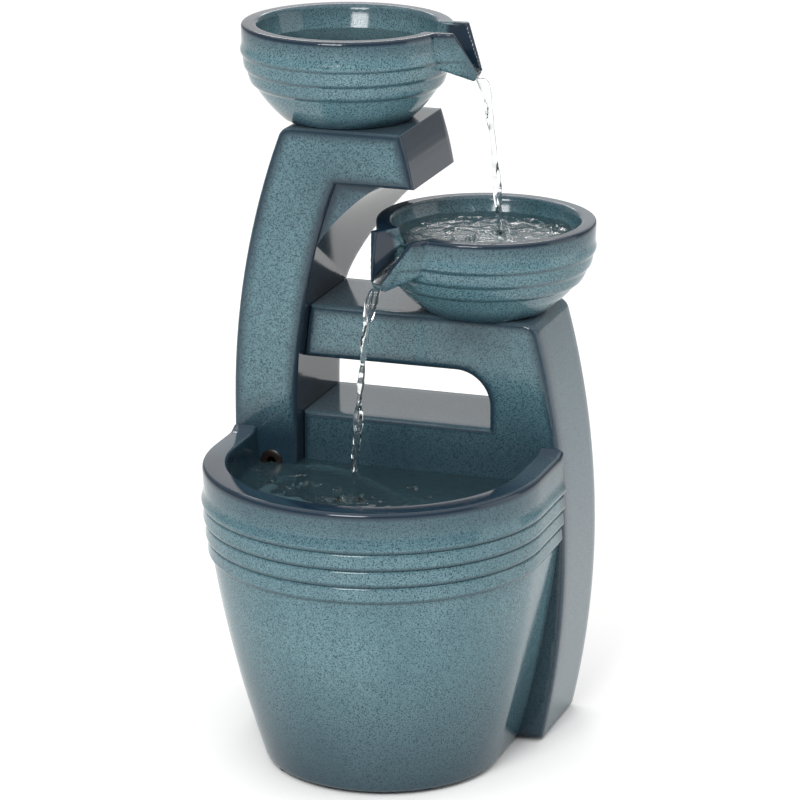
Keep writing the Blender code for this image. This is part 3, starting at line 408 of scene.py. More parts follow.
def rod(radius: float, start: Sequence[float], end: Sequence[float], sides: int = 32) -> bmesh.types.BMesh:
    """A capped cylinder between two points.

    Args:
        radius: Its radius.
        start: The middle of one end.
        end: The middle of the other.
        sides: Faces round it.

    Returns:
        The cylinder.
    """
    bm = bmesh.new()
    axis = Vector(end) - Vector(start)
    bmesh.ops.create_cone(bm, cap_ends=True, segments=sides, radius1=radius, radius2=radius,
                          depth=axis.length)
    turn = Vector((0, 0, 1)).rotation_difference(axis).to_matrix().to_4x4()
    middle = Matrix.Translation((Vector(start) + Vector(end)) / 2)
    bmesh.ops.transform(bm, matrix=middle @ turn, verts=bm.verts)
    return bm


def as_object(name: str, bm: bmesh.types.BMesh) -> bpy.types.Object:
    """Put a mesh in the scene as an object at the origin.

    Args:
        name: The object's name.
        bm: Its mesh, used up.

    Returns:
        The object.
    """
    mesh = bpy.data.meshes.new(name)
    bm.to_mesh(mesh)
    bm.free()
    made = bpy.data.objects.new(name, mesh)
    bpy.context.scene.collection.objects.link(made)
    return made


def bake_modifiers(target: bpy.types.Object) -> None:
    """Replace a piece's mesh by what its modifiers make of it.

    Args:
        target: The piece.
    """
    graph = bpy.context.evaluated_depsgraph_get()
    made = bpy.data.meshes.new_from_object(target.evaluated_get(graph))
    target.modifiers.clear()
    target.data = made


def combine(target: bpy.types.Object, tool: bmesh.types.BMesh, operation: str = "DIFFERENCE") -> None:
    """Cut a solid out of a piece, or join it on.

    Args:
        target: The piece.
        tool: The solid, used up.
        operation: DIFFERENCE or UNION.
    """
    bmesh.ops.recalc_face_normals(tool, faces=tool.faces)
    helper = as_object("helper", tool)
    modifier = target.modifiers.new(operation, "BOOLEAN")
    modifier.operation = operation
    modifier.object = helper
    bake_modifiers(target)
    bpy.data.objects.remove(helper)


def soften(target: bpy.types.Object, voxel: float, passes: int) -> None:
    """Remesh a piece evenly and relax it, so that every edge and crease gets the glaze's small radius.

    Args:
        target: The piece.
        voxel: The new faces' size.
        passes: How often it is relaxed.
    """
    remesh = target.modifiers.new("remesh", "REMESH")
    remesh.mode = "VOXEL"
    remesh.voxel_size = voxel
    relax = target.modifiers.new("relax", "SMOOTH")
    relax.factor = 0.5
    relax.iterations = passes
    bake_modifiers(target)


def read_points(mesh: bpy.types.Mesh) -> tuple[Points, Points]:
    """The places and the normals of a mesh's vertices.

    Args:
        mesh: The mesh.

    Returns:
        Both, one row for each vertex.
    """
    places = np.empty(len(mesh.vertices) * 3)
    normals = np.empty(len(mesh.vertices) * 3)
    mesh.vertices.foreach_get("co", places)
    mesh.vertices.foreach_get("normal", normals)
    return places.reshape(-1, 3), normals.reshape(-1, 3)


def write_attribute(mesh: bpy.types.Mesh, name: str, values: Points) -> None:
    """Store one number for each vertex, for the finish to read."""
    attribute = mesh.attributes.new(name, "FLOAT", "POINT")
    attribute.data.foreach_set("value", np.clip(values, 0, 1).astype(np.float32))


def write_tones(piece: bpy.types.Object, tones: Callable[[Points, Points], tuple[Points, Points]]) -> None:
    """Store the navy glaze with painted shade, and the plum glaze with painted sheen, for the finish to read.

    Args:
        piece: The casting.
        tones: Gives both from the places and normals of its vertices.
    """
    glaze_depth_and_shade, plum_and_sheen = tones(*read_points(piece.data))
    write_attribute(piece.data, "glaze_depth_and_shade", glaze_depth_and_shade)
    write_attribute(piece.data, "plum_and_sheen", plum_and_sheen)


def distance_to(outline: Outline, places: Points) -> Points:
    """How far each point is from an outline in XZ, whatever its y.

    Args:
        outline: The outline's corners.
        places: The points.

    Returns:
        One distance for each point.
    """
    corners = np.array(outline)
    nearest = np.full(len(places), 1.0)
    spots = places[:, [0, 2]]
    for start, end in zip(corners, np.roll(corners, -1, axis=0)):
        along = end - start
        length = max(float(along @ along), 1e-12)
        share = np.clip((spots - start) @ along / length, 0, 1)
        gap = np.linalg.norm(spots - (start + share[:, None] * along), axis=1)
        nearest = np.minimum(nearest, gap)
    return nearest


def finish_piece(piece: bpy.types.Object, material: bpy.types.Material, slot: str, *replaced: str,
                 body: str = "root", sharp: float = 40.0) -> bpy.types.Object:
    """Shade, dress and attach a new piece.

    Args:
        piece: Its object, in place.
        material: Its finish.
        slot: A material slot's name; not used.
        *replaced: The CAD nodes that it stands for.
        body: The CAD body that it rides on.
        sharp: Edges sharper than this many degrees stay crisp.

    Returns:
        The piece.
    """
    piece.data.shade_smooth()
    piece.data.set_sharp_from_angle(angle=math.radians(sharp))
    piece.data.materials.clear()
    piece.data.materials.append(material)
    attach(piece, body)
    if replaced:
        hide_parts(*replaced)
    LOG.info("%s: %d faces", piece.name, len(piece.data.polygons))
    return piece


def shingle(place: float, count: int, height: float) -> float:
    """How far a rib stands out: each band leans out downwards, then rolls under to a sharp crease.

    Args:
        place: Bands below the first one's upper edge; creases lie at whole numbers.
        count: How many bands there are.
        height: How far a band's lower edge stands out.

    Returns:
        The distance that is added to the plain side.
    """
    if not 0 < place < count:
        return 0.0
    share = place % 1.0
    upper_edge = float(smooth(share, 0, 0.7)) if place < 1 else min(1.0, share / 0.12) ** 0.5
    lean = 0.45 + 0.55 * min(1.0, share / 0.7)
    roll = math.sqrt(max(0.0, 1 - (max(0.0, share - 0.72) / 0.28) ** 2))
    return height * upper_edge * lean * roll


def under_rib(place: Points, count: int) -> Points:
    """1 on the rolled underside of each band, 0 elsewhere: where painted shade goes."""
    return smooth(place % 1.0, 0.7, 0.86) * (place > 0) * (place < count)


# ---------------------------------------------------------------- basin
@dataclass
class Basin:
    """The D-shaped bucket: flared, ribbed under its rim, with a thick rounded rim."""

    centre_y: float = -3 * MM
    rim_half: float = 96 * MM
    foot_half: float = 65.5 * MM
    flare: float = 1.75
    lean: float = 5 * MM               # the foot stands this far to the right of the rim
    rim_wall: float = 14 * MM
    wall: float = 9 * MM
    floor_z: float = 9 * MM
    rim_round: float = 2.6 * MM
    rim_inner_round: float = 1.6 * MM
    foot_round: float = 3 * MM
    first_crease: float = 23.1 * MM    # rim to the crease under the rim's own band
    rib_pitch: float = 9.65 * MM
    ribs: int = 4
    rib_height: float = 2.0 * MM
    front_left_y: float = 28.2 * MM
    front_right_y: float = 39.7 * MM
    step_x: float = -58.1 * MM
    drain_bore: float = 5.3 * MM
    base_z: float = field(default_factory=lambda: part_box("basin")[0].z)
    rim_z: float = field(default_factory=lambda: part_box("basin")[1].z)

    def half_width(self, z: float) -> float:
        """Half the plain outside width at height z."""
        share = max(0.0, 1 - z / self.rim_z)
        return self.rim_half - (self.rim_half - self.foot_half) * share**self.flare

    def rib(self, z: float) -> float:
        """How far the ribs stand out at height z."""
        return shingle((self.rim_z - self.first_crease - z) / self.rib_pitch + 1, self.ribs, self.rib_height)

    def inner(self, z: float) -> float:
        """Half the inside width at height z."""
        wall = self.wall + (self.rim_wall - self.wall) * float(smooth(z, 0.108, 0.150))
        return self.half_width(z) - wall

    def section(self) -> Outline:
        """(half width, z) from the axis out along the foot, up the outside, over the rim, and down inside.

        Returns:
            The section's points.
        """
        points = [(0, self.base_z)]
        for angle in steps(0, math.pi / 2, 5):
            height = self.base_z + self.foot_round * (1 - math.cos(angle))
            points.append((self.half_width(height) - self.foot_round * (1 - math.sin(angle)), height))
        top_band = self.rim_z - self.first_crease + self.rib_pitch
        lowest_rib = top_band - self.ribs * self.rib_pitch
        points += [(self.half_width(z), z) for z in steps(self.base_z + 8 * MM, lowest_rib, 26)]
        per_rib = 26
        points += [(self.half_width(z) + self.rib(z), z)
                   for z in steps(lowest_rib, top_band, per_rib * self.ribs)[1:]]
        collar = self.rim_z - self.rim_round
        points += [(self.half_width(z), z) for z in steps(top_band, collar, 5)[1:-1]]
        for angle in steps(0, math.pi / 2, 7):
            points.append((self.rim_half - self.rim_round * (1 - math.cos(angle)),
                           self.rim_z - self.rim_round * (1 - math.sin(angle))))
        rim_inner = self.rim_half - self.rim_wall
        for angle in steps(0, math.pi / 2, 6):
            points.append((rim_inner + self.rim_inner_round * (1 - math.sin(angle)),
                           self.rim_z - self.rim_inner_round * (1 - math.cos(angle))))
        points += [(self.inner(z), z) for z in steps(self.rim_z - 8 * MM, self.floor_z + 6 * MM, 16)]
        points += [(self.inner(self.floor_z) - 5 * MM, self.floor_z), (0, self.floor_z)]
        return points

    def spun(self, section: Outline, back_y: float) -> bmesh.types.BMesh:
        """Turn a section half round the front, and carry it straight back to back_y.

        Args:
            section: (half width, z) points, closed along the axis.
            back_y: Where the straight stretch ends.

        Returns:
            The closed mesh.
        """
        bm = bmesh.new()
        geometry = chain(bm, [(-radius, 0, z) for radius, z in section], closed=True)
        bmesh.ops.spin(bm, geom=geometry, cent=(0, 0, 0), axis=(0, 0, 1), angle=math.pi, steps=120,
                       use_merge=False, use_duplicate=False)
        bmesh.ops.remove_doubles(bm, verts=bm.verts, dist=1e-7)
        count = 10
        stretch = Vector((0, (back_y - self.centre_y) / count, 0))
        for _ in range(count):
            border = [edge for edge in bm.edges if edge.is_boundary]
            moved = bmesh.ops.extrude_edge_only(bm, edges=border)["geom"]
            bmesh.ops.translate(bm, vec=stretch, verts=verts_of(moved))
        bmesh.ops.holes_fill(bm, edges=[edge for edge in bm.edges if edge.is_boundary], sides=0)
        for vert in bm.verts:
            vert.co.x += self.lean * (1 - vert.co.z / self.rim_z)
            vert.co.y += self.centre_y
        bmesh.ops.recalc_face_normals(bm, faces=bm.faces)
        return bm

    def lift_rim_ends(self, mesh: bpy.types.Mesh) -> None:
        """Raise the rim a little where it runs up against each tower.

        Args:
            mesh: The basin's mesh.
        """
        for vert in mesh.vertices:
            front = self.front_left_y if vert.co.x < self.step_x else self.front_right_y
            near = float(smooth(front - vert.co.y, 5 * MM, 0))
            top = float(smooth(vert.co.z, self.rim_z - 6 * MM, self.rim_z - 1 * MM))
            vert.co.z += 2.6 * MM * near * top

    def tones(self, places: Points, normals: Points) -> tuple[Points, Points]:
        """How dark the glaze is painted, painted shade included, and where plum glaze and painted sheen lie.

        Args:
            places: The vertices' places.
            normals: Their normals.

        Returns:
            The navy glaze with painted shade, and the share of plum glaze with painted sheen.
        """
        x, y, z = places.T
        radius = np.hypot(x - self.lean * (1 - z / self.rim_z), np.minimum(y - self.centre_y, 0))
        outside = radius > np.array([self.inner(h) for h in z]) + 3.5 * MM
        top = smooth(normals[:, 2], 0.55, 0.95) * (z > self.rim_z - 8 * MM)
        drop = self.rim_z - z
        edge = np.maximum(smooth(drop, 5.5 * MM, 2 * MM), 0.5 * smooth(drop, 27 * MM, 4 * MM))
        # Painted shade on the rolled undersides of the ribs.
        crease = under_rib((drop - self.first_crease) / self.rib_pitch + 1, self.ribs)
        # Painted shade that darkens the outside towards the foot.
        foot = smooth(z, 110 * MM, -15 * MM)
        # Darker where the basin runs back to the towers' fronts.
        back = np.where(x < self.step_x, self.front_left_y, self.front_right_y)
        ends = smooth(back - y, 16 * MM, 0)
        outer_glaze_and_shade = np.maximum.reduce([0.95 * edge, 0.5 * crease, 0.66 * foot, 0.6 * ends])
        deep_in = 0.7 - 0.65 * smooth(z, self.rim_z - 16 * MM, self.rim_z - 24 * MM)
        # Away from the front the rim top is painted lighter and plum grey: partly plum glaze, partly painted
        # reflection of the bright room.
        front = smooth(y, 20 * MM, -55 * MM)
        # A painted highlight line along the rim's outer edge, at the front.
        rim_highlight_line = smooth(self.rim_half - radius, 3 * MM, 1.2 * MM)
        rim_glaze_and_reflection = 0.55 + 0.45 * front * (1 - 0.3 * rim_highlight_line) + 0.3 * ends
        glaze_depth_and_shade = np.where(outside, outer_glaze_and_shade, deep_in) * (1 - top) + rim_glaze_and_reflection * top
        plum_and_sheen = top * (0.62 - front * (0.62 - 0.12 * rim_highlight_line))
        return glaze_depth_and_shade, plum_and_sheen

    def build(self, glaze: bpy.types.Material) -> None:
        """Make the basin.

        Args:
            glaze: The castings' finish.
        """
        piece = as_object("basin_casting", self.spun(self.section(), 60 * MM))
        reach, above = 150 * MM, self.rim_z + 20 * MM
        combine(piece, box((-reach, self.front_left_y, -1), (self.step_x, reach, above)))
        combine(piece, box((self.step_x - 1 * MM, self.front_right_y, -1), (reach, reach, above)))
        plug_low, plug_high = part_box("drain_plug")
        drain = (plug_low + plug_high) / 2
        combine(piece, rod(self.drain_bore, (drain.x, drain.y, -self.floor_z),
                           (drain.x, drain.y, 2 * self.floor_z)))
        self.lift_rim_ends(piece.data)
        write_tones(piece, self.tones)
        finish_piece(piece, glaze, "glazed_resin", "basin", sharp=50)


# ---------------------------------------------------------------- towers
@dataclass
class Tower:
    """What the two hollow castings share: their depth, wall, and the finish of a prism with soft edges."""

    front_y: float = 28.5 * MM
    back_y: float = 105 * MM
    wall: float = 5 * MM
    below: float = 5 * MM              # how far the cavity is cut past the foot
    edge_round: float = 2.6 * MM
    grid: float = 2.5 * MM
    corner_round: float = 8 * MM
    base_z: float = field(default_factory=lambda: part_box("left_tower")[0].z)
    column_x: float = -58.4 * MM       # the joint line between the two castings
    column_waist_z: float = 187.2 * MM
    column_radius: float = 378.5 * MM

    def joint_x(self, z: float) -> float:
        """The left column's inner side at height z.

        Args:
            z: A height.

        Returns:
            Its x.
        """
        if z <= self.column_waist_z:
            return self.column_x
        return self.column_x + self.column_radius - math.sqrt(
            self.column_radius**2 - (z - self.column_waist_z) ** 2)

    def rounded(self, corner: tuple[float, float], before: tuple[float, float], after: tuple[float, float],
                radius: float, count: int = 8) -> Outline:
        """Points that round a corner of an outline, tangent to both of its sides.

        Args:
            corner: The corner.
            before: A point on the side before it.
            after: A point on the side after it.
            radius: The rounding.
            count: Steps along it.

        Returns:
            The points of the arc.
        """
        at, side_in, side_out = Vector(corner), Vector(before), Vector(after)
        side_in, side_out = (side_in - at).normalized(), (side_out - at).normalized()
        half = side_in.angle(side_out) / 2
        reach = radius / math.tan(half)
        middle = at + (side_in + side_out).normalized() * radius / math.sin(half)
        start, end = at + side_in * reach - middle, at + side_out * reach - middle
        return [tuple(middle + start.lerp(end, t).normalized() * radius) for t in steps(0, 1, count)]

    def soften_rims(self, bm: bmesh.types.BMesh, caps: list) -> None:
        """Round the edges of the front and back faces.

        Args:
            bm: The casting.
            caps: Its front and back faces.
        """
        bmesh.ops.recalc_face_normals(bm, faces=bm.faces)
        rims = [edge for cap in caps for edge in cap.edges]
        bmesh.ops.bevel(bm, geom=rims, offset=self.edge_round, segments=4, profile=0.5, material=-1,
                        affect="EDGES")
        flat = [face for face in bm.faces if len(face.verts) > 4]
        bmesh.ops.triangulate(bm, faces=flat)

    def cut_grid(self, piece: bpy.types.Object) -> None:
        """Cut the casting's faces along an even grid, so that its vertices can carry the painted fades of
        glaze and shade.

        Args:
            piece: The casting.
        """
        low, high = (Vector(corner) for corner in (piece.bound_box[0], piece.bound_box[6]))
        bm = bmesh.new()
        bm.from_mesh(piece.data)
        for axis in (0, 2):
            normal = Vector((0, 0, 0))
            normal[axis] = 1
            for place in np.arange(low[axis] + self.grid, high[axis], self.grid):
                geometry = bm.verts[:] + bm.edges[:] + bm.faces[:]
                bmesh.ops.bisect_plane(bm, geom=geometry, dist=1e-6, plane_co=normal * float(place),
                                       plane_no=normal)
        bm.to_mesh(piece.data)
        bm.free()

    def hollow(self, piece: bpy.types.Object, outline: Outline) -> None:
        """Take out the casting's inside, which is open at the foot.

        Args:
            piece: The casting.
            outline: The cavity in XZ.
        """
        cavity = bmesh.new()
        face = cavity.faces.new([cavity.verts.new((x, self.front_y + self.wall, z)) for x, z in outline])
        swept = bmesh.ops.extrude_face_region(cavity, geom=[face])["geom"]
        depth = Vector((0, self.back_y - self.front_y - 2 * self.wall, 0))
        bmesh.ops.translate(cavity, vec=depth, verts=verts_of(swept))
        combine(piece, cavity)

    def dress(self, piece: bpy.types.Object, glaze: bpy.types.Material, node: str,
              tones: Callable[[Points, Points], tuple[Points, Points]]) -> None:
        """Write the tones and attach the casting.

        Args:
            piece: The casting.
            glaze: The castings' finish.
            node: The CAD node it stands for.
            tones: Gives the navy glaze with painted shade, and the plum glaze with painted sheen, from places
                and normals.
        """
        self.cut_grid(piece)
        write_tones(piece, tones)
        finish_piece(piece, glaze, "glazed_resin", node, sharp=35)


@dataclass
class HookTower(Tower):
    """The left casting: a barrelled column, the arm of the top bowl and the flared gusset under it."""

    outer_x: float = -95.6 * MM
    outer_waist_z: float = 189.7 * MM
    outer_radius: float = 450.7 * MM
    barrel_z: float = 125 * MM
    barrel_radius: float = 771 * MM
    arm_z: float = field(default_factory=lambda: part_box("left_tower")[1].z)
    arm_height: float = 30.6 * MM
    arm_end_x: float = 3.2 * MM
    arm_end_slant: float = 7.8 * MM
    arm_end_bulge: float = 0.6 * MM
    gusset_setback: float = 3 * MM
    gusset_front: tuple[float, float] = (26 * MM, 37 * MM)      # reach along the arm, drop down the column
    gusset_back: tuple[float, float] = (42 * MM, 74 * MM)
    gusset_hollow: float = 1.55
    gusset_steps: int = 24
    port_radius: float = 5.5 * MM
    fitting_bore: float = 6.4 * MM
    hatch_lip: float = 2.1 * MM
    hatch_slack: float = 0.4 * MM
    hatch_rebate: float = 2.3 * MM

    def outer(self, z: float, inset: float = 0.0) -> float:
        """The column's outer side at height z.

        Args:
            z: A height.
            inset: How far inside the real face.

        Returns:
            Its x.
        """
        apex_z, radius = self.outer_waist_z, self.outer_radius
        if z < self.barrel_z:
            apex_z, radius = self.barrel_z, self.barrel_radius
        elif z < self.outer_waist_z:
            return self.outer_x + inset
        return self.outer_x + inset + radius - math.sqrt(radius**2 - (z - apex_z) ** 2)

    def side(self, inset: float, bottom_z: float) -> Outline:
        """From the foot of the outer side, over the top, to the arm's lower end.

        Args:
            inset: How far inside the real face.
            bottom_z: Where the outline ends underneath.

        Returns:
            The points.
        """
        top_z, under_z = self.arm_z - inset, self.arm_z - self.arm_height + inset
        outline = [(self.outer(z, inset), z) for z in steps(bottom_z, self.barrel_z, 12)]
        high = top_z - 2 * self.corner_round
        outline += [(self.outer(z, inset), z) for z in steps(self.outer_waist_z - 30 * MM, high, 20)]
        outline += self.rounded((self.outer(top_z, inset), top_z), outline[-1], (0, top_z), self.corner_round)
        outline += [(x, top_z) for x in steps(outline[-1][0], self.arm_end_x - inset, 8)[1:-1]]
        end = []
        for share in steps(0, 1, 6):
            bulge = self.arm_end_bulge * math.sin(math.pi * share)
            end.append((self.arm_end_x + self.arm_end_slant * share + bulge - inset,
                        top_z + (under_z - top_z) * share))
        return outline + end

    def outline(self, inset: float, bottom_z: float) -> Outline:
        """The bare hook, without its gusset.

        Args:
            inset: How far inside the real face.
            bottom_z: Where the outline ends underneath.

        Returns:
            The points, closed.
        """
        under_z = self.arm_z - self.arm_height + inset
        return (self.side(inset, bottom_z)
                + [(self.joint_x(z) - inset, z) for z in steps(under_z, self.column_waist_z, 16)]
                + [(self.column_x - inset, bottom_z)])

    def run(self, reach: float, drop: float, filled: bool) -> Outline:
        """From the arm's underside to the column: along the gusset's curve, or along the bare corner.

        Args:
            reach: The gusset's length along the arm.
            drop: Its length down the column.
            filled: Whether the gusset is there.

        Returns:
            The points.
        """
        under_z = self.arm_z - self.arm_height
        root = self.joint_x(under_z)
        if not filled:
            half = self.gusset_steps // 2
            bare = [(x, under_z) for x in steps(root + reach, root, half)]
            return bare + [(self.joint_x(z), z) for z in steps(under_z, under_z - drop, half)[1:]]
        curve = []
        for angle in steps(0, math.pi / 2, self.gusset_steps):
            z = under_z - drop * (1 - math.cos(angle) ** self.gusset_hollow)
            curve.append((self.joint_x(z) + reach * (1 - math.sin(angle) ** self.gusset_hollow), z))
        return curve

    def ring(self, bm: bmesh.types.BMesh, y: float, gusset: tuple[float, float],
             filled: bool) -> tuple[list, slice]:
        """The hook's whole outline as vertices at y, and where the gusset lies among them.

        Args:
            bm: The mesh to add to.
            y: How far back.
            gusset: Its reach and drop there.
            filled: Whether the gusset is there.

        Returns:
            The vertices, and the gusset's stretch of them.
        """
        low_z = self.arm_z - self.arm_height - gusset[1]
        before = self.side(0, self.base_z)
        run = self.run(*gusset, filled)
        after = [(self.joint_x(z), z) for z in steps(low_z, self.column_waist_z, 10)[1:]]
        after += [(self.column_x, z) for z in steps(self.column_waist_z, self.base_z, 8)[1:]]
        verts = [bm.verts.new((x, y, z)) for x, z in before + run + after]
        return verts, slice(len(before) + 1, len(before) + len(run) - 1)

    def solid(self) -> bmesh.types.BMesh:
        """Loft the casting from its front face to its back face.

        Returns:
            The closed mesh.
        """
        bm = bmesh.new()
        start_y = self.front_y + self.gusset_setback
        front, _ = self.ring(bm, self.front_y, self.gusset_front, False)
        bare, inner = self.ring(bm, start_y, self.gusset_front, False)
        start = list(bare)
        curve = self.run(*self.gusset_front, True)[1:-1]
        start[inner] = [bm.verts.new((x, start_y, z)) for x, z in curve]
        rows = [start]
        count = 10
        for step in range(1, count + 1):
            share = step / count
            gusset = tuple(a + (b - a) * share for a, b in zip(self.gusset_front, self.gusset_back))
            rows.append(self.ring(bm, start_y + (self.back_y - start_y) * share, gusset, True)[0])
        for near, far in [(front, bare), *zip(rows, rows[1:])]:
            for i, corner in enumerate(near):
                j = (i + 1) % len(near)
                bm.faces.new((corner, near[j], far[j], far[i]))
        bm.faces.new(bare[inner.start - 1:inner.stop + 1] + list(reversed(start[inner])))
        caps = [bm.faces.new(front), bm.faces.new(list(reversed(rows[-1])))]
        self.soften_rims(bm, caps)
        return bm

    def tones(self, places: Points, normals: Points) -> tuple[Points, Points]:
        """How dark the glaze is painted, painted shade included, and where plum glaze and painted sheen lie.

        Args:
            places: The vertices' places.
            normals: Their normals.

        Returns:
            The navy glaze with painted shade, and the share of plum glaze with painted sheen.
        """
        x, y, z = places.T
        facing = np.abs(normals[:, 1])
        gap = distance_to(self.outline(0, self.base_z), places)
        flat = smooth(facing, 0.6, 0.95)
        edge = smooth(gap, 9 * MM, 0.5 * MM)
        # Painted shade in the inner corner under the arm.
        corner = np.exp(-np.hypot(x + 30 * MM, z - 314 * MM) / (16 * MM))
        # Wet glaze and painted shade on the front, in a band from the water line up to about 205 mm.
        wet_and_shade = smooth(z, 205 * MM, 168 * MM) * (z > 140 * MM) * 0.8
        high = 0.14 * smooth(z, 250 * MM, 310 * MM)
        flat_glaze_and_shade = np.maximum.reduce([0.72 * edge, 0.55 * corner, wet_and_shade]) + high
        # Painted shade on the sides: darker on faces that look inward, lighter on outer and upward faces.
        inward = smooth(normals[:, 0], 0.35, 0.8)
        outer = smooth(-normals[:, 0], 0.35, 0.8)
        up = smooth(normals[:, 2], 0.5, 0.9)
        side_glaze_and_shade = 0.65 + 0.3 * inward - 0.2 * outer - 0.3 * up
        # Plum glaze with painted sheen on the sides, more on the upward faces.
        plum_and_sheen = (1 - flat) * (0.3 + 0.4 * up - 0.15 * inward * (x > 0))
        return flat_glaze_and_shade * flat + side_glaze_and_shade * (1 - flat), plum_and_sheen

    def build(self, glaze: bpy.types.Material) -> None:
        """Make the left tower, hollow, with its ports, its hatch opening and the hole of the inlet.

        Args:
            glaze: The castings' finish.
        """
        piece = as_object("hook_tower_casting", self.solid())
        self.hollow(piece, self.outline(self.wall, -self.below))
        past = 2 * self.wall
        for bush, wall_y in (("cable_grommet", self.front_y), ("hose_grommet", self.front_y),
                             ("cable_exit_bush", self.back_y)):
            low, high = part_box(bush)
            middle = (low + high) / 2
            combine(piece, rod(self.port_radius, (middle.x, wall_y - past, middle.z),
                               (middle.x, wall_y + past, middle.z)))
        low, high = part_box("inlet_fitting")
        middle = (low + high) / 2
        combine(piece, rod(self.fitting_bore, (middle.x, middle.y, self.arm_z - past),
                           (middle.x, middle.y, self.arm_z + self.wall)))
        low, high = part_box("rear_hatch")
        lip = Vector((self.hatch_lip, 0, self.hatch_lip))
        slack = Vector((self.hatch_slack, 0, self.hatch_slack))
        through = Vector((0, past, 0))
        combine(piece, box(low + lip - through, high - lip + through))
        rebate_y = self.back_y - self.hatch_rebate
        combine(piece, box(Vector((low.x, rebate_y, low.z)) - slack, high + slack + through))
        self.dress(piece, glaze, "left_tower", self.tones)


@dataclass
class ArchTower(Tower):
    """The right casting: its column, the arm of the middle bowl, and the sill under the window."""

    front_y: float = 40 * MM
    joint: float = 0.3 * MM
    outer_x: float = 97 * MM
    outer_waist_z: float = 110.6 * MM
    outer_radius: float = 494.3 * MM
    arm_z: float = field(default_factory=lambda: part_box("right_tower")[1].z)
    arm_height: float = 30.3 * MM
    sill_z: float = 183.2 * MM
    window_x: float = 52.4 * MM
    window_round: float = 20 * MM

    def outer(self, z: float, inset: float = 0.0) -> float:
        """The right side at height z."""
        return (self.outer_x - inset - self.outer_radius
                + math.sqrt(self.outer_radius**2 - (z - self.outer_waist_z) ** 2))

    def outline(self, inset: float, bottom_z: float) -> Outline:
        """The casting in XZ.

        Args:
            inset: How far inside the real face.
            bottom_z: Where the outline ends underneath.

        Returns:
            The points, closed.
        """
        top, under, sill = self.arm_z - inset, self.arm_z - self.arm_height + inset, self.sill_z - inset
        left = self.column_x + self.joint + inset
        outline = [(x, bottom_z) for x in steps(left, self.outer(bottom_z, inset), 10)]
        outline += [(self.outer(z, inset), z)
                    for z in steps(bottom_z, top - 2 * self.corner_round, 30)[1:]]
        outline += self.rounded((self.outer(top, inset), top), outline[-1], (0, top), self.corner_round)
        outline += [(x, top) for x in steps(outline[-1][0], self.joint_x(top) + self.joint + inset, 12)[1:]]
        outline += [(self.joint_x(z) + self.joint + inset, z) for z in steps(top, under, 3)[1:]]
        window = self.window_x + inset
        arch = self.rounded((window, under), (0, under), (window, sill), self.window_round + inset, 12)
        outline += [(x, under) for x in steps(outline[-1][0], arch[0][0], 8)[1:-1]] + arch
        outline += [(window, sill)]
        outline += [(x, sill) for x in steps(window, left, 10)[1:]]
        outline += [(left, z) for z in steps(sill, bottom_z, 10)[1:-1]]
        return outline

    def tones(self, places: Points, normals: Points) -> tuple[Points, Points]:
        """How dark the glaze is painted, painted shade included, and where plum glaze and painted sheen lie.

        Args:
            places: The vertices' places.
            normals: Their normals.

        Returns:
            The navy glaze with painted shade, and the share of plum glaze with painted sheen.
        """
        x, _, z = places.T
        gap = distance_to(self.outline(0, self.base_z), places)
        flat = smooth(np.abs(normals[:, 1]), 0.6, 0.95)
        edge = smooth(gap, 8 * MM, 0.5 * MM)
        # Wet glaze and painted shade, darker downwards towards the basin.
        wet_and_shade = 0.52 * smooth(z, 225 * MM, 160 * MM)
        # Painted shadow under the middle bowl.
        bowl_shadow = np.exp(-(np.hypot(x - 41 * MM, (z - 246 * MM) * 1.4) / (26 * MM)) ** 2)
        flat_glaze_and_shade = np.maximum.reduce([0.72 * edge, wet_and_shade, 0.5 * bowl_shadow]) + 0.12
        # Painted shade on the sides: right-facing and upward faces lighter, right-facing ones near the front
        # darker.
        right = smooth(normals[:, 0], 0.35, 0.8)
        up = smooth(normals[:, 2], 0.5, 0.9)
        near_front = smooth(places[:, 1], 58 * MM, 42 * MM)
        side_glaze_and_shade = 0.7 - 0.42 * right - 0.5 * up + 0.4 * right * near_front
        # Plum glaze with painted sheen on the sides, more on the upward faces.
        plum_and_sheen = (1 - flat) * (0.4 + 0.25 * up)
        return flat_glaze_and_shade * flat + side_glaze_and_shade * (1 - flat), plum_and_sheen

    def build(self, glaze: bpy.types.Material) -> None:
        """Make the right tower, hollow and open underneath.

        Args:
            glaze: The castings' finish.
        """
        bm = bmesh.new()
        count = 8
        cap = bm.faces.new([bm.verts.new((x, self.front_y, z)) for x, z in self.outline(0, self.base_z)])
        end = cap
        stretch = Vector((0, (self.back_y - self.front_y) / count, 0))
        for _ in range(count):
            swept = bmesh.ops.extrude_face_region(bm, geom=[end])["geom"]
            bmesh.ops.translate(bm, vec=stretch, verts=verts_of(swept))
            if end is not cap:
                bmesh.ops.delete(bm, geom=[end], context="FACES_ONLY")
            end = next(f for f in swept if isinstance(f, bmesh.types.BMFace))
        self.soften_rims(bm, [cap, end])
        piece = as_object("arch_tower_casting", bm)
        self.hollow(piece, self.outline(self.wall, -self.below))
        self.dress(piece, glaze, "right_tower", self.tones)


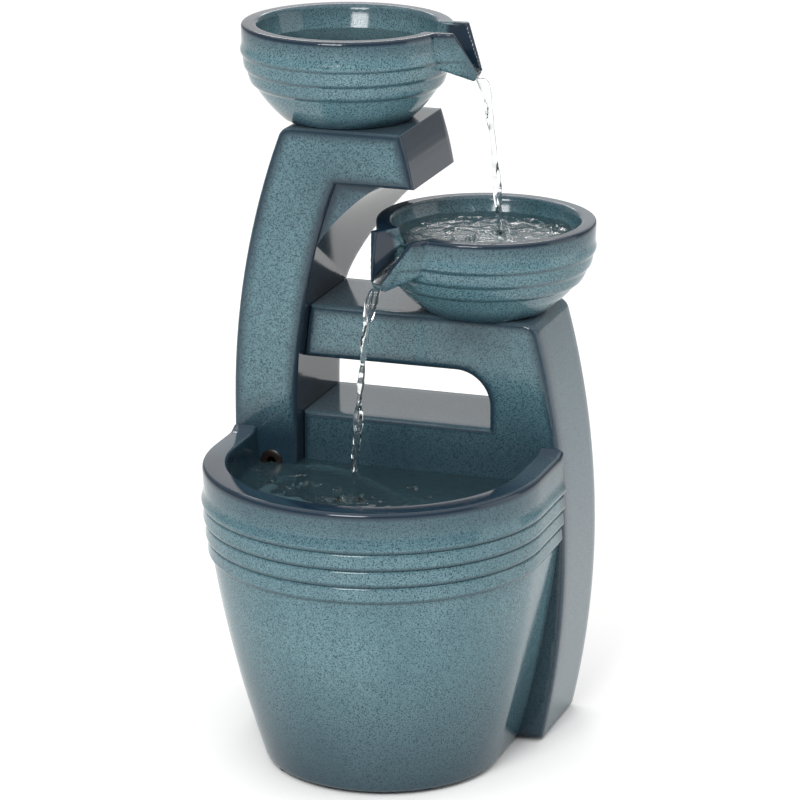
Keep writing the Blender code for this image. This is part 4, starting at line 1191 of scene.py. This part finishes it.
# ---------------------------------------------------------------- bowls
@dataclass
class Bowl:
    """A ribbed bowl with a folded spout."""

    node: str
    centre: tuple[float, float]
    radius: float
    height: float
    foot: float
    spout_angle: float
    inlet: bool
    wall: float = 9 * MM
    floor: float = 7 * MM
    flare: float = 2.6
    ribs: int = 3
    first_crease: float = 17.8 * MM
    rib_pitch: float = 8.5 * MM
    rib_height: float = 1.5 * MM
    inner_flare: float = 1.5           # the inner wall leans back more than the outer one
    spout_reach: float = 17.5 * MM
    spout_shoulder: float = 6 * MM
    spout_drop: float = 29 * MM
    spout_half: float = 19 * MM
    spout_tip: float = 5 * MM
    spout_lip: float = 3.4 * MM
    channel_depth: float = 17 * MM
    voxel: float = 0.82 * MM

    @property
    def rim_z(self) -> float:
        """The height of the rim."""
        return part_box(self.node)[0].z + self.height

    def side(self, drop: float, radius: float, height: float, foot: float) -> float:
        """The plain radius at a depth below the rim."""
        return foot + (radius - foot) * (1 - (drop / height) ** self.flare)

    def rib(self, drop: float) -> float:
        """How far the ribs stand out at a depth below the rim."""
        return shingle((drop - self.first_crease) / self.rib_pitch + 1, self.ribs, self.rib_height)

    def inside(self) -> Outline:
        """The inner side, from the axis up to the rim.

        Returns:
            (radius, z) points.
        """
        height = self.height - self.floor
        points = [(0, self.rim_z - height)]
        for share in steps(1, 0.04, 22):
            drop = share * height
            points.append((self.inner(drop), self.rim_z - drop))
        return points

    def inner(self, drop: float) -> float:
        """The inner radius at a depth below the rim."""
        foot, rim = self.foot - self.floor, self.radius - self.wall
        return foot + (rim - foot) * (1 - (drop / (self.height - self.floor)) ** self.inner_flare)

    def profile(self) -> Outline:
        """Down the outside from the rim, across the foot, and back up the inside.

        Returns:
            (radius, z) points.
        """
        edge = 1.5 * MM
        points = []
        for angle in steps(math.pi / 2, 0, 5):
            points.append((self.radius - edge * (1 - math.cos(angle)),
                           self.rim_z - edge * (1 - math.sin(angle))))
        for drop in steps(edge, self.height, 110)[1:]:
            points.append((self.side(drop, self.radius, self.height, self.foot) + self.rib(drop),
                           self.rim_z - drop))
        points.append((0, self.rim_z - self.height))
        points += self.inside()
        points.append((self.radius - self.wall + 1.2 * MM, self.rim_z))
        return points

    def spout_point(self, out: float, across: float, down: float) -> Vector:
        """A place in the spout's own directions: out from the bowl's axis, across, and down from the rim.

        Args:
            out: Distance from the bowl's axis.
            across: Distance from the spout's middle line.
            down: Distance below the rim.

        Returns:
            The place.
        """
        angle = self.spout_angle
        ahead = Vector((math.cos(angle), math.sin(angle), 0))
        aside = Vector((-math.sin(angle), math.cos(angle), 0))
        return Vector((*self.centre, self.rim_z)) + ahead * out + aside * across - Vector((0, 0, down))

    def lip(self) -> bmesh.types.BMesh:
        """The solid spout: a prow that narrows and falls from the rim to its tip.

        Returns:
            The solid to join on.
        """
        root, shoulder = self.radius - 16 * MM, self.radius + self.spout_shoulder
        tip, points = self.radius + self.spout_reach, []
        for sign in (-1, 1):
            points += [self.spout_point(root, sign * self.spout_half, 0),
                       self.spout_point(shoulder, sign * self.spout_half, 0),
                       self.spout_point(tip, sign * self.spout_tip, self.spout_drop - 5 * MM),
                       self.spout_point(tip - 2.5 * MM, sign * self.spout_tip, self.spout_drop),
                       self.spout_point(root, sign * self.spout_half, self.spout_drop - 13 * MM),
                       self.spout_point(self.radius - 3 * MM, sign * self.spout_half * 0.8,
                                        self.spout_drop - 9 * MM)]
        return hull(points)

    def channel(self) -> bmesh.types.BMesh:
        """The trough through the rim and down the spout.

        Returns:
            The solid to cut out.
        """
        root, shoulder = self.radius - self.wall - 12 * MM, self.radius + self.spout_shoulder
        tip, above, points = self.radius + self.spout_reach, -6 * MM, []
        wide, narrow = self.spout_half - self.spout_lip, self.spout_tip - 0.6 * self.spout_lip
        for sign in (-1, 1):
            points += [self.spout_point(root, sign * wide, above),
                       self.spout_point(shoulder + 10 * MM, sign * wide, above),
                       self.spout_point(root, sign * wide * 0.75, self.channel_depth - 2 * MM),
                       self.spout_point(self.radius - 4 * MM, sign * wide * 0.6, self.channel_depth),
                       self.spout_point(tip + 4 * MM, sign * narrow, self.spout_drop - 2.5 * MM),
                       self.spout_point(tip + 8 * MM, sign * narrow * 1.5, self.spout_drop - 12 * MM)]
        return hull(points)

    def tones(self, places: Points, normals: Points) -> tuple[Points, Points]:
        """How dark the glaze is painted, painted shade included, and where plum glaze and painted sheen lie.

        Args:
            places: The vertices' places.
            normals: Their normals.

        Returns:
            The navy glaze with painted shade, and the share of plum glaze with painted sheen.
        """
        drop = self.rim_z - places[:, 2]
        flat = places[:, :2] - np.array(self.centre)
        radius = np.linalg.norm(flat, axis=1)
        ahead = np.array([math.cos(self.spout_angle), math.sin(self.spout_angle)])
        out = flat @ ahead
        across = np.abs(flat @ np.array([-ahead[1], ahead[0]]))
        toward = np.einsum("ij,ij->i", normals[:, :2], flat) / np.maximum(radius, 1e-6)
        inner = smooth(toward, 0.1, -0.2) * (radius < self.radius)
        top = smooth(normals[:, 2], 0.6, 0.95) * smooth(drop, 2 * MM, 0.6 * MM)
        edge = np.maximum(smooth(drop, 4.5 * MM, 1.5 * MM), 0.5 * smooth(drop, 15 * MM, 3 * MM))
        # Painted shade near the foot, where the bowl sits on its arm.
        foot = smooth(drop, self.height - 12 * MM, self.height) * 0.7
        # Painted shade on the rolled undersides of the ribs.
        crease = under_rib((drop - self.first_crease) / self.rib_pitch + 1, self.ribs)
        glaze_depth_and_shade = np.maximum.reduce([0.92 * edge, foot, 0.42 * crease])
        glaze_depth_and_shade = glaze_depth_and_shade * (1 - inner) + inner * (0.12 + 0.25 * smooth(drop, 12 * MM, 0))
        beside = self.spout_half - across
        spout = smooth(out, self.radius - 9 * MM, self.radius - 3 * MM) * (beside > -1.5 * MM)
        trough = spout * smooth(normals[:, 2], 0.03, 0.2) * (drop > 1.5 * MM) * (beside > 2 * MM)
        near_edge = spout * smooth(out, self.radius + 4 * MM, self.radius + 16 * MM) * 0.4
        glaze_depth_and_shade = np.maximum.reduce([glaze_depth_and_shade, 0.97 * trough, near_edge])
        # The rim top is painted navy at the front and lighter plum grey elsewhere: partly plum glaze, partly
        # painted reflection of the bright room.
        front = smooth(flat[:, 1] / np.maximum(radius, 1e-6), 0.4, -0.5)
        return np.maximum(glaze_depth_and_shade, (0.5 + 0.48 * front) * top), (0.8 - 0.76 * front) * top * (1 - 0.5 * trough)

    def build(self, glaze: bpy.types.Material) -> None:
        """Make the bowl.

        Args:
            glaze: The castings' finish.
        """
        piece = as_object(f"{self.node}_casting", turned(self.profile(), 144, (*self.centre, 0)))
        combine(piece, self.lip(), "UNION")
        rim = self.radius - self.wall
        core = self.inside() + [(rim, self.rim_z), (rim, self.rim_z + 5 * MM), (0, self.rim_z + 5 * MM)]
        combine(piece, turned(core, 144, (*self.centre, 0)))
        combine(piece, self.channel())
        if self.inlet:
            low = self.rim_z - self.height
            combine(piece, rod(6.4 * MM, (*self.centre, low - 5 * MM), (*self.centre, low + 12 * MM)))
        soften(piece, self.voxel, 2)
        write_tones(piece, self.tones)
        finish_piece(piece, glaze, "glazed_resin", self.node, sharp=60)


# ---------------------------------------------------------------- water
@dataclass
class Pool:
    """Standing water in a round bowl: a body that fills it to its level, with ripples on top."""

    name: str
    bowl: Bowl
    level_drop: float
    rough: float
    hit: tuple[float, float] | None = None
    overlap: float = 0.25 * MM

    def build(self, water: bpy.types.Material) -> None:
        """Make the water body.

        Args:
            water: The water's finish.
        """
        bowl = self.bowl
        level = bowl.rim_z - self.level_drop
        below = [(r + self.overlap, z - self.overlap) for r, z in bowl.inside()[1:] if z < level - 1 * MM]
        rim = bowl.inner(self.level_drop) + self.overlap
        surface = [(rim * share, level) for share in steps(1, 0, 30)]
        bottom = [(0, below[0][1])]
        bm = turned(bottom + below + surface, 120, (*bowl.centre, 0))
        ripple(bm, level, self.rough, self.hit or bowl.centre)
        finish_piece(as_object(self.name, bm), water, "", sharp=80)


def ripple(bm: bmesh.types.BMesh, level: float, rough: float, hit: Sequence[float]) -> None:
    """Raise and lower the water's surface: rings spreading from where the stream falls, and crossing waves.

    Args:
        bm: The water body.
        level: Its surface's height.
        rough: The height of the waves.
        hit: Where the stream falls.
    """
    draw = random.Random(7)
    waves = [(draw.uniform(0, math.tau), draw.uniform(7, 16) * MM, draw.uniform(0, math.tau))
             for _ in range(9)]
    for vert in bm.verts:
        if abs(vert.co.z - level) > 1e-6:
            continue
        x, y = vert.co.x, vert.co.y
        away = math.hypot(x - hit[0], y - hit[1])
        lift = 1.5 * math.cos(away / (1.15 * MM)) * math.exp(-away / (16 * MM))
        for turn, length, shift in waves:
            along = x * math.cos(turn) + y * math.sin(turn)
            lift += 0.45 * math.sin(math.tau * along / length + shift)
        vert.co.z += rough * lift * math.exp(-away / (70 * MM))


@dataclass
class BasinPool:
    """The water that fills the basin to its level, up to the towers' fronts."""

    basin: Basin
    level: float = 155 * MM
    overlap: float = 0.25 * MM
    hit: tuple[float, float] = (-6 * MM, -19 * MM)

    def build(self, water: bpy.types.Material) -> None:
        """Make the water body.

        Args:
            water: The water's finish.
        """
        basin = self.basin
        floor = basin.floor_z - self.overlap
        walls = [(basin.inner(z) + self.overlap, z) for z in steps(basin.floor_z + 6 * MM, self.level, 10)]
        rim = walls[-1][0]
        surface = [(rim * share, self.level) for share in steps(1, 0, 60)[1:]]
        section = [(0, floor), (basin.inner(basin.floor_z) - 5 * MM, floor)] + walls + surface
        bm = basin.spun(section, 42 * MM)
        piece = as_object("basin_water", bm)
        reach = 150 * MM
        combine(piece, box((-reach, basin.front_left_y + self.overlap, -1),
                           (basin.step_x - self.overlap, reach, 1)))
        combine(piece, box((basin.step_x - 1 * MM, basin.front_right_y + self.overlap, -1),
                           (reach, reach, 1)))
        bm = bmesh.new()
        bm.from_mesh(piece.data)
        ripple(bm, self.level, 0.09 * MM, self.hit)
        bm.to_mesh(piece.data)
        bm.free()
        finish_piece(piece, water, "", sharp=80)


@dataclass
class Stream:
    """Water falling from a spout: a rope of clear water that narrows, twists and breaks up as it falls."""

    name: str
    start: Vector
    end: Vector
    top_radius: float
    low_radius: float
    beading: float                     # share of the radius that the beads add and take away
    seed: int
    rings: int = 110
    sides: int = 18

    def centre(self, share: float) -> Vector:
        """The middle of the stream, a share of the way down: it leaves level and falls freely.

        Args:
            share: How far down, from 0 to 1.

        Returns:
            The place.
        """
        place = self.start.lerp(self.end, math.sqrt(share))
        place.z = self.start.z + (self.end.z - self.start.z) * share
        return place

    def build(self, water: bpy.types.Material) -> None:
        """Make the stream by extruding a ring down its path.

        Args:
            water: The water's finish.
        """
        draw = random.Random(self.seed)
        beads = [(draw.uniform(7, 26) * MM, draw.uniform(0, math.tau)) for _ in range(6)]
        fall = self.start.z - self.end.z
        bm = bmesh.new()
        bmesh.ops.create_circle(bm, segments=self.sides, radius=1.0)
        ring = bm.verts[:]
        shape = [vert.co.copy() for vert in ring]
        edges = bm.edges[:]
        for step in range(self.rings + 1):
            share = step / self.rings
            if step:
                swept = bmesh.ops.extrude_edge_only(bm, edges=edges)["geom"]
                edges = [g for g in swept if isinstance(g, bmesh.types.BMEdge)
                         and all(v in set(swept) for v in g.verts)]
                ring = [g for g in swept if isinstance(g, bmesh.types.BMVert)]
            radius = self.top_radius + (self.low_radius - self.top_radius) * share**0.6
            swell = sum(math.sin(math.tau * share * fall / length + shift) for length, shift in beads) / 3
            radius *= 1 + self.beading * swell * min(1.0, 0.35 + share)
            middle = self.centre(share)
            twist = 5 * share + 0.4 * math.sin(9 * share)
            for vert, unit in zip(ring, shape):
                angle = math.atan2(unit.y, unit.x)
                lobe = 1 + 0.34 * math.cos(2 * (angle - twist)) + 0.12 * math.sin(3 * angle + 11 * share)
                vert.co = middle + Vector((unit.x, unit.y, 0)) * radius * lobe
        bmesh.ops.holes_fill(bm, edges=[e for e in bm.edges if e.is_boundary], sides=0)
        bmesh.ops.recalc_face_normals(bm, faces=bm.faces)
        finish_piece(as_object(self.name, bm), water, "", sharp=80)


@dataclass
class Film:
    """The sheet of water that runs out along a spout's channel."""

    name: str
    bowl: Bowl
    rise: float                        # how deep the water is where it leaves the bowl
    depth: float = 1.3 * MM
    tip_half: float = 4.2 * MM
    wall_slope: float = 0.27           # how fast the channel widens upwards
    overlap: float = 0.3 * MM

    def build(self, water: bpy.types.Material) -> None:
        """Make the sheet.

        Args:
            water: The finish it gets.
        """
        bowl = self.bowl
        root, crest, end = bowl.radius - 4 * MM, bowl.radius - 9 * MM, bowl.radius + bowl.spout_reach - 1 * MM
        wide = 0.6 * (bowl.spout_half - bowl.spout_lip)
        low = bowl.channel_depth + 7.6 * MM
        points = []
        for sign in (-1, 1):
            for out, half, down, depth in ((crest, wide, bowl.channel_depth - 0.6 * MM, self.rise),
                                           (root, wide, bowl.channel_depth, 0.7 * self.rise),
                                           (end, self.tip_half, low, self.depth)):
                edge = half + self.overlap
                points += [bowl.spout_point(out, sign * edge, down + self.overlap),
                           bowl.spout_point(out, sign * (edge + self.wall_slope * depth), down - depth)]
        bm = hull(points)
        finish_piece(as_object(self.name, bm), water, "", sharp=80)


@dataclass
class Foam:
    """Bubbles and drops where a stream lands: each cluster is many small round beads in one piece."""

    name: str
    level: float
    clusters: Sequence[tuple[float, float, float, int]]     # x, y, spread and count, in millimetres
    seed: int

    def build(self, water: bpy.types.Material) -> None:
        """Make the beads.

        Args:
            water: The water's finish.
        """
        draw = random.Random(self.seed)
        bm = bmesh.new()
        for x, y, spread, count in self.clusters:
            for _ in range(count):
                away, turn = abs(draw.gauss(0, spread / 2)), draw.uniform(0, math.tau)
                radius = draw.choice((0.35, 0.45, 0.6, 0.8, 1.3)) * draw.uniform(0.8, 1.2) * MM
                place = Vector((x + away * math.cos(turn), y + away * math.sin(turn), 0)) * MM
                place.z = self.level + radius * draw.uniform(-0.2, 0.35)
                bmesh.ops.create_icosphere(bm, subdivisions=2, radius=radius,
                                           matrix=Matrix.Translation(place))
        finish_piece(as_object(self.name, bm), water, "", sharp=80)


# ---------------------------------------------------------------- pieces carried over
@dataclass(frozen=True)
class Fittings:
    """The pump, hose, feet and other small pieces, whose shapes stay as they are."""

    finishes: dict

    def build(self) -> None:
        """Dress each node that is still shown, with merged and softly split faces."""
        for node, finish in self.finishes.items():
            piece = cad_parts[node]
            piece.data.shade_smooth()
            weld = piece.modifiers.new("weld", "WELD")
            weld.merge_threshold = 1e-5
            split = piece.modifiers.new("split", "EDGE_SPLIT")
            split.split_angle = math.radians(32)
            piece.data.materials.clear()
            piece.data.materials.append(finish)


# ---------------------------------------------------------------- studio
@dataclass
class Studio:
    """A pale floor, a white room, soft boxes in front, beside and behind, and the camera."""

    camera_place: tuple[float, float, float] = (0.690599, -2.000570, 0.841717)
    camera_tilt: float = 73.3
    camera_turn: float = 18.7
    lens: float = 180.0

    def light(self, name: str, place: Sequence[float], target: Sequence[float], size: tuple[float, float],
              power: float) -> None:
        """A rectangular soft box that faces a target.

        Args:
            name: Its name.
            place: Where it stands.
            target: What it faces.
            size: Its width and height.
            power: Its power in watts.
        """
        data = bpy.data.lights.new(name, "AREA")
        data.shape = "RECTANGLE"
        data.size, data.size_y = size
        data.energy = power
        lamp = bpy.data.objects.new(name, data)
        lamp.location = place
        aim = Vector(target) - Vector(place)
        lamp.rotation_euler = aim.to_track_quat("-Z", "Y").to_euler()
        bpy.context.scene.collection.objects.link(lamp)

    def build(self) -> None:
        """Make the studio."""
        scene = bpy.context.scene
        scene.view_settings.view_transform = "Standard"
        world = bpy.data.worlds.new("white_room")
        world.use_nodes = True
        sky = world.node_tree.nodes["Background"]
        sky.inputs["Color"].default_value = (1, 1, 1, 1)
        sky.inputs["Strength"].default_value = 0.45
        scene.world = world
        bm = bmesh.new()
        bmesh.ops.create_grid(bm, x_segments=1, y_segments=1, size=6)
        floor = as_object("floor", bm)
        material, tree, shader = new_material("pale_floor", Base_Color=srgb("#F4F4F3"), Roughness=0.8)
        place = add_node(tree, Node.COORDINATES).outputs["Object"]
        mottle = add_node(tree, Node.NOISE, {"Scale": 40.0}, {"Vector": place}).outputs["Fac"]
        rough = add_node(tree, Node.RANGE, {"To Min": 0.75, "To Max": 0.9}, {"Value": mottle})
        tree.links.new(rough.outputs[0], shader.inputs["Roughness"])
        floor.data.materials.append(material)
        self.light("front_soft_box", (0.0, -1.15, 0.95), (0, 0, 0.24), (0.5, 0.5), 12.5)
        self.light("side_soft_box", (1.3, 0.35, 0.5), (0, 0, 0.2), (0.9, 0.9), 3.2)
        self.light("back_soft_box", (-0.65, 1.9, 0.95), (0, 0, 0.25), (1.7, 1.0), 3.6)
        self.light("back_strip", (-0.5, 1.35, 1.05), (0, 0, 0.25), (0.6, 0.12), 2.0)
        ceiling = bpy.data.lights.new("ceiling", "SUN")
        ceiling.energy = 2.0
        ceiling.angle = math.radians(100)
        lamp = bpy.data.objects.new("ceiling", ceiling)
        scene.collection.objects.link(lamp)
        data = bpy.data.cameras.new("camera")
        data.lens = self.lens
        data.sensor_width = 36
        data.clip_start, data.clip_end = 0.1, 50
        camera = bpy.data.objects.new("camera", data)
        camera.location = self.camera_place
        camera.rotation_euler = (math.radians(self.camera_tilt), 0, math.radians(self.camera_turn))
        scene.collection.objects.link(camera)
        scene.camera = camera


# ---------------------------------------------------------------- the whole
TOP_WATER_DROP = 12.8 * MM             # rim to water
MID_WATER_DROP = 8.5 * MM
MID_LANDING = (49 * MM, 70 * MM)       # where the upper stream lands
# Clusters of bubbles, in millimetres: x, y, spread and count.
BASIN_FOAM = ((-14, -25, 14, 90), (-3, -21, 7, 50), (-38, -5, 8, 40), (-50, 8, 4, 14), (-46, -16, 6, 12),
              (-18, -11, 5, 12), (-61, -3, 5, 10), (19, 9, 6, 22), (32, -4, 6, 10), (-75, 10, 4, 8))
MID_FOAM = ((49, 70, 6, 30), (38, 48, 10, 30), (56, 84, 9, 24), (70, 92, 7, 16), (20, 66, 7, 12))


def fitting_finishes() -> dict[str, bpy.types.Material]:
    """Which finish each small piece gets.

    Returns:
        A finish for each node's name.
    """
    # Glass-filled ABS of the pump and fittings: satin black with a fine moulded grain.
    black = Moulded("abs_black", "#232426", "#34363A", 0.42).material()
    # Polypropylene of the plates and the flow slider: waxy mid grey.
    grey = Moulded("polypropylene_grey", "#5C5E61", "#6E7073", 0.5, depth=0.03 * MM).material()
    # Moulded natural rubber of the bushes: dull warm brown, wet at the water line.
    brown = Moulded("rubber_brown", "#150D0A", "#221510", 0.3, grain=0.8 * MM).material()
    # Nitrile rubber of feet, seals and glands: dull black with a dusty bloom.
    rubber = Moulded("rubber_black", "#1B1B1C", "#2B2B2C", 0.7, grain=0.8 * MM).material()
    # Plasticised PVC of the hose and suction cups: milky, half clear.
    vinyl = Moulded("pvc_clear", "#C9D3D2", "#DDE4E2", 0.22, depth=0.02 * MM, transmission=0.55).material()
    # Sintered alumina of the shaft: off-white and finely ground.
    alumina = Moulded("alumina_shaft", "#E6E3DA", "#D6D2C6", 0.3, grain=0.3 * MM).material()
    # Bonded ferrite of the rotor: dark grey and slightly gritty.
    ferrite = Moulded("ferrite_rotor", "#3A3A3D", "#4B4B50", 0.55, grain=0.4 * MM).material()
    # Cast epoxy over the coil: near black, smooth where it set level.
    epoxy = Moulded("epoxy_potting", "#26262A", "#303036", 0.28, depth=0.02 * MM).material()
    found = {
        "pump_shaft": alumina, "pump_impeller": ferrite, "pump_coil_pack": epoxy, "hose": vinyl,
        "cable_grommet": brown, "hose_grommet": brown,
    }
    for node in ("pump_body", "pump_volute", "strainer_cover", "inlet_fitting", "inlet_nut", "outlet_cap"):
        found[node] = black
    for node in ("left_base_plate", "right_base_plate", "outlet_adapter", "flow_slider"):
        found[node] = grey
    for node in ("cable_exit_bush", "drain_plug", "inlet_seal", "pump_cable_gland"):
        found[node] = rubber
    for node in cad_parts:
        if node.startswith("foot_pad"):
            found[node] = rubber
        if node.startswith("suction_cup"):
            found[node] = vinyl
    return found


def build_water(basin: Basin, top: Bowl, middle: Bowl) -> None:
    """Fill the basin and the bowls, and let the water run over both spouts.

    Args:
        basin: The basin.
        top: The top bowl.
        middle: The middle bowl.
    """
    still = ClearWater("still_water", strength=0.12).material()
    lively = ClearWater("lively_water", ripple_size=4.5 * MM, ripple_depth=0.9 * MM, strength=0.55).material()
    basin_water = ClearWater("basin_water", strength=0.25, colour="#9CC8D6", clear=0.95).material()
    falling = ClearWater("falling_water", ripple_size=4 * MM, strength=0.35).material()
    Pool("top_bowl_water", top, TOP_WATER_DROP, 0.03 * MM).build(still)
    Pool("mid_bowl_water", middle, MID_WATER_DROP, 0.4 * MM, MID_LANDING).build(lively)
    BasinPool(basin).build(basin_water)
    Stream("upper_stream", top.spout_point(76 * MM, 0, 28 * MM), Vector((*MID_LANDING, 0.2885)),
           2.7 * MM, 1.7 * MM, 0.14, 3).build(falling)
    Stream("lower_stream", middle.spout_point(78.5 * MM, 0, 28 * MM), Vector((-0.0074, -0.0190, 0.1545)),
           2.7 * MM, 1.6 * MM, 0.32, 5).build(falling)
    Film("upper_film", top, 3.4 * MM).build(lively)
    Film("lower_film", middle, 7.4 * MM).build(lively)
    Foam("basin_foam", 0.155, BASIN_FOAM, 11).build(falling)
    Foam("mid_bowl_foam", 0.289, MID_FOAM, 13).build(falling)


def main() -> None:
    """Build the studio, the castings, the water and the fittings, in that order."""
    logging.basicConfig(level=logging.INFO, format="%(name)s %(message)s")
    Studio().build()
    glaze = GlazedResin().material()
    basin = Basin()
    basin.build(glaze)
    HookTower().build(glaze)
    ArchTower().build(glaze)
    top = Bowl("top_bowl", centre=(-40 * MM, 66.5 * MM), radius=59.3 * MM, height=53.5 * MM, foot=36 * MM,
               spout_angle=math.radians(3), inlet=True)
    middle = Bowl("mid_bowl", centre=(41.3 * MM, 68 * MM), radius=61.6 * MM, height=51.2 * MM, foot=34 * MM,
                  spout_angle=math.radians(-122.3), inlet=False)
    for bowl in (top, middle):
        bowl.build(glaze)
    build_water(basin, top, middle)
    finishes = fitting_finishes()
    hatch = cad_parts["rear_hatch"]
    write_tones(hatch, lambda places, _: (np.full(len(places), 0.35), np.full(len(places), 0.15)))
    finishes["rear_hatch"] = glaze
    Fittings(finishes).build()


if __name__ == "__main__":
    main()
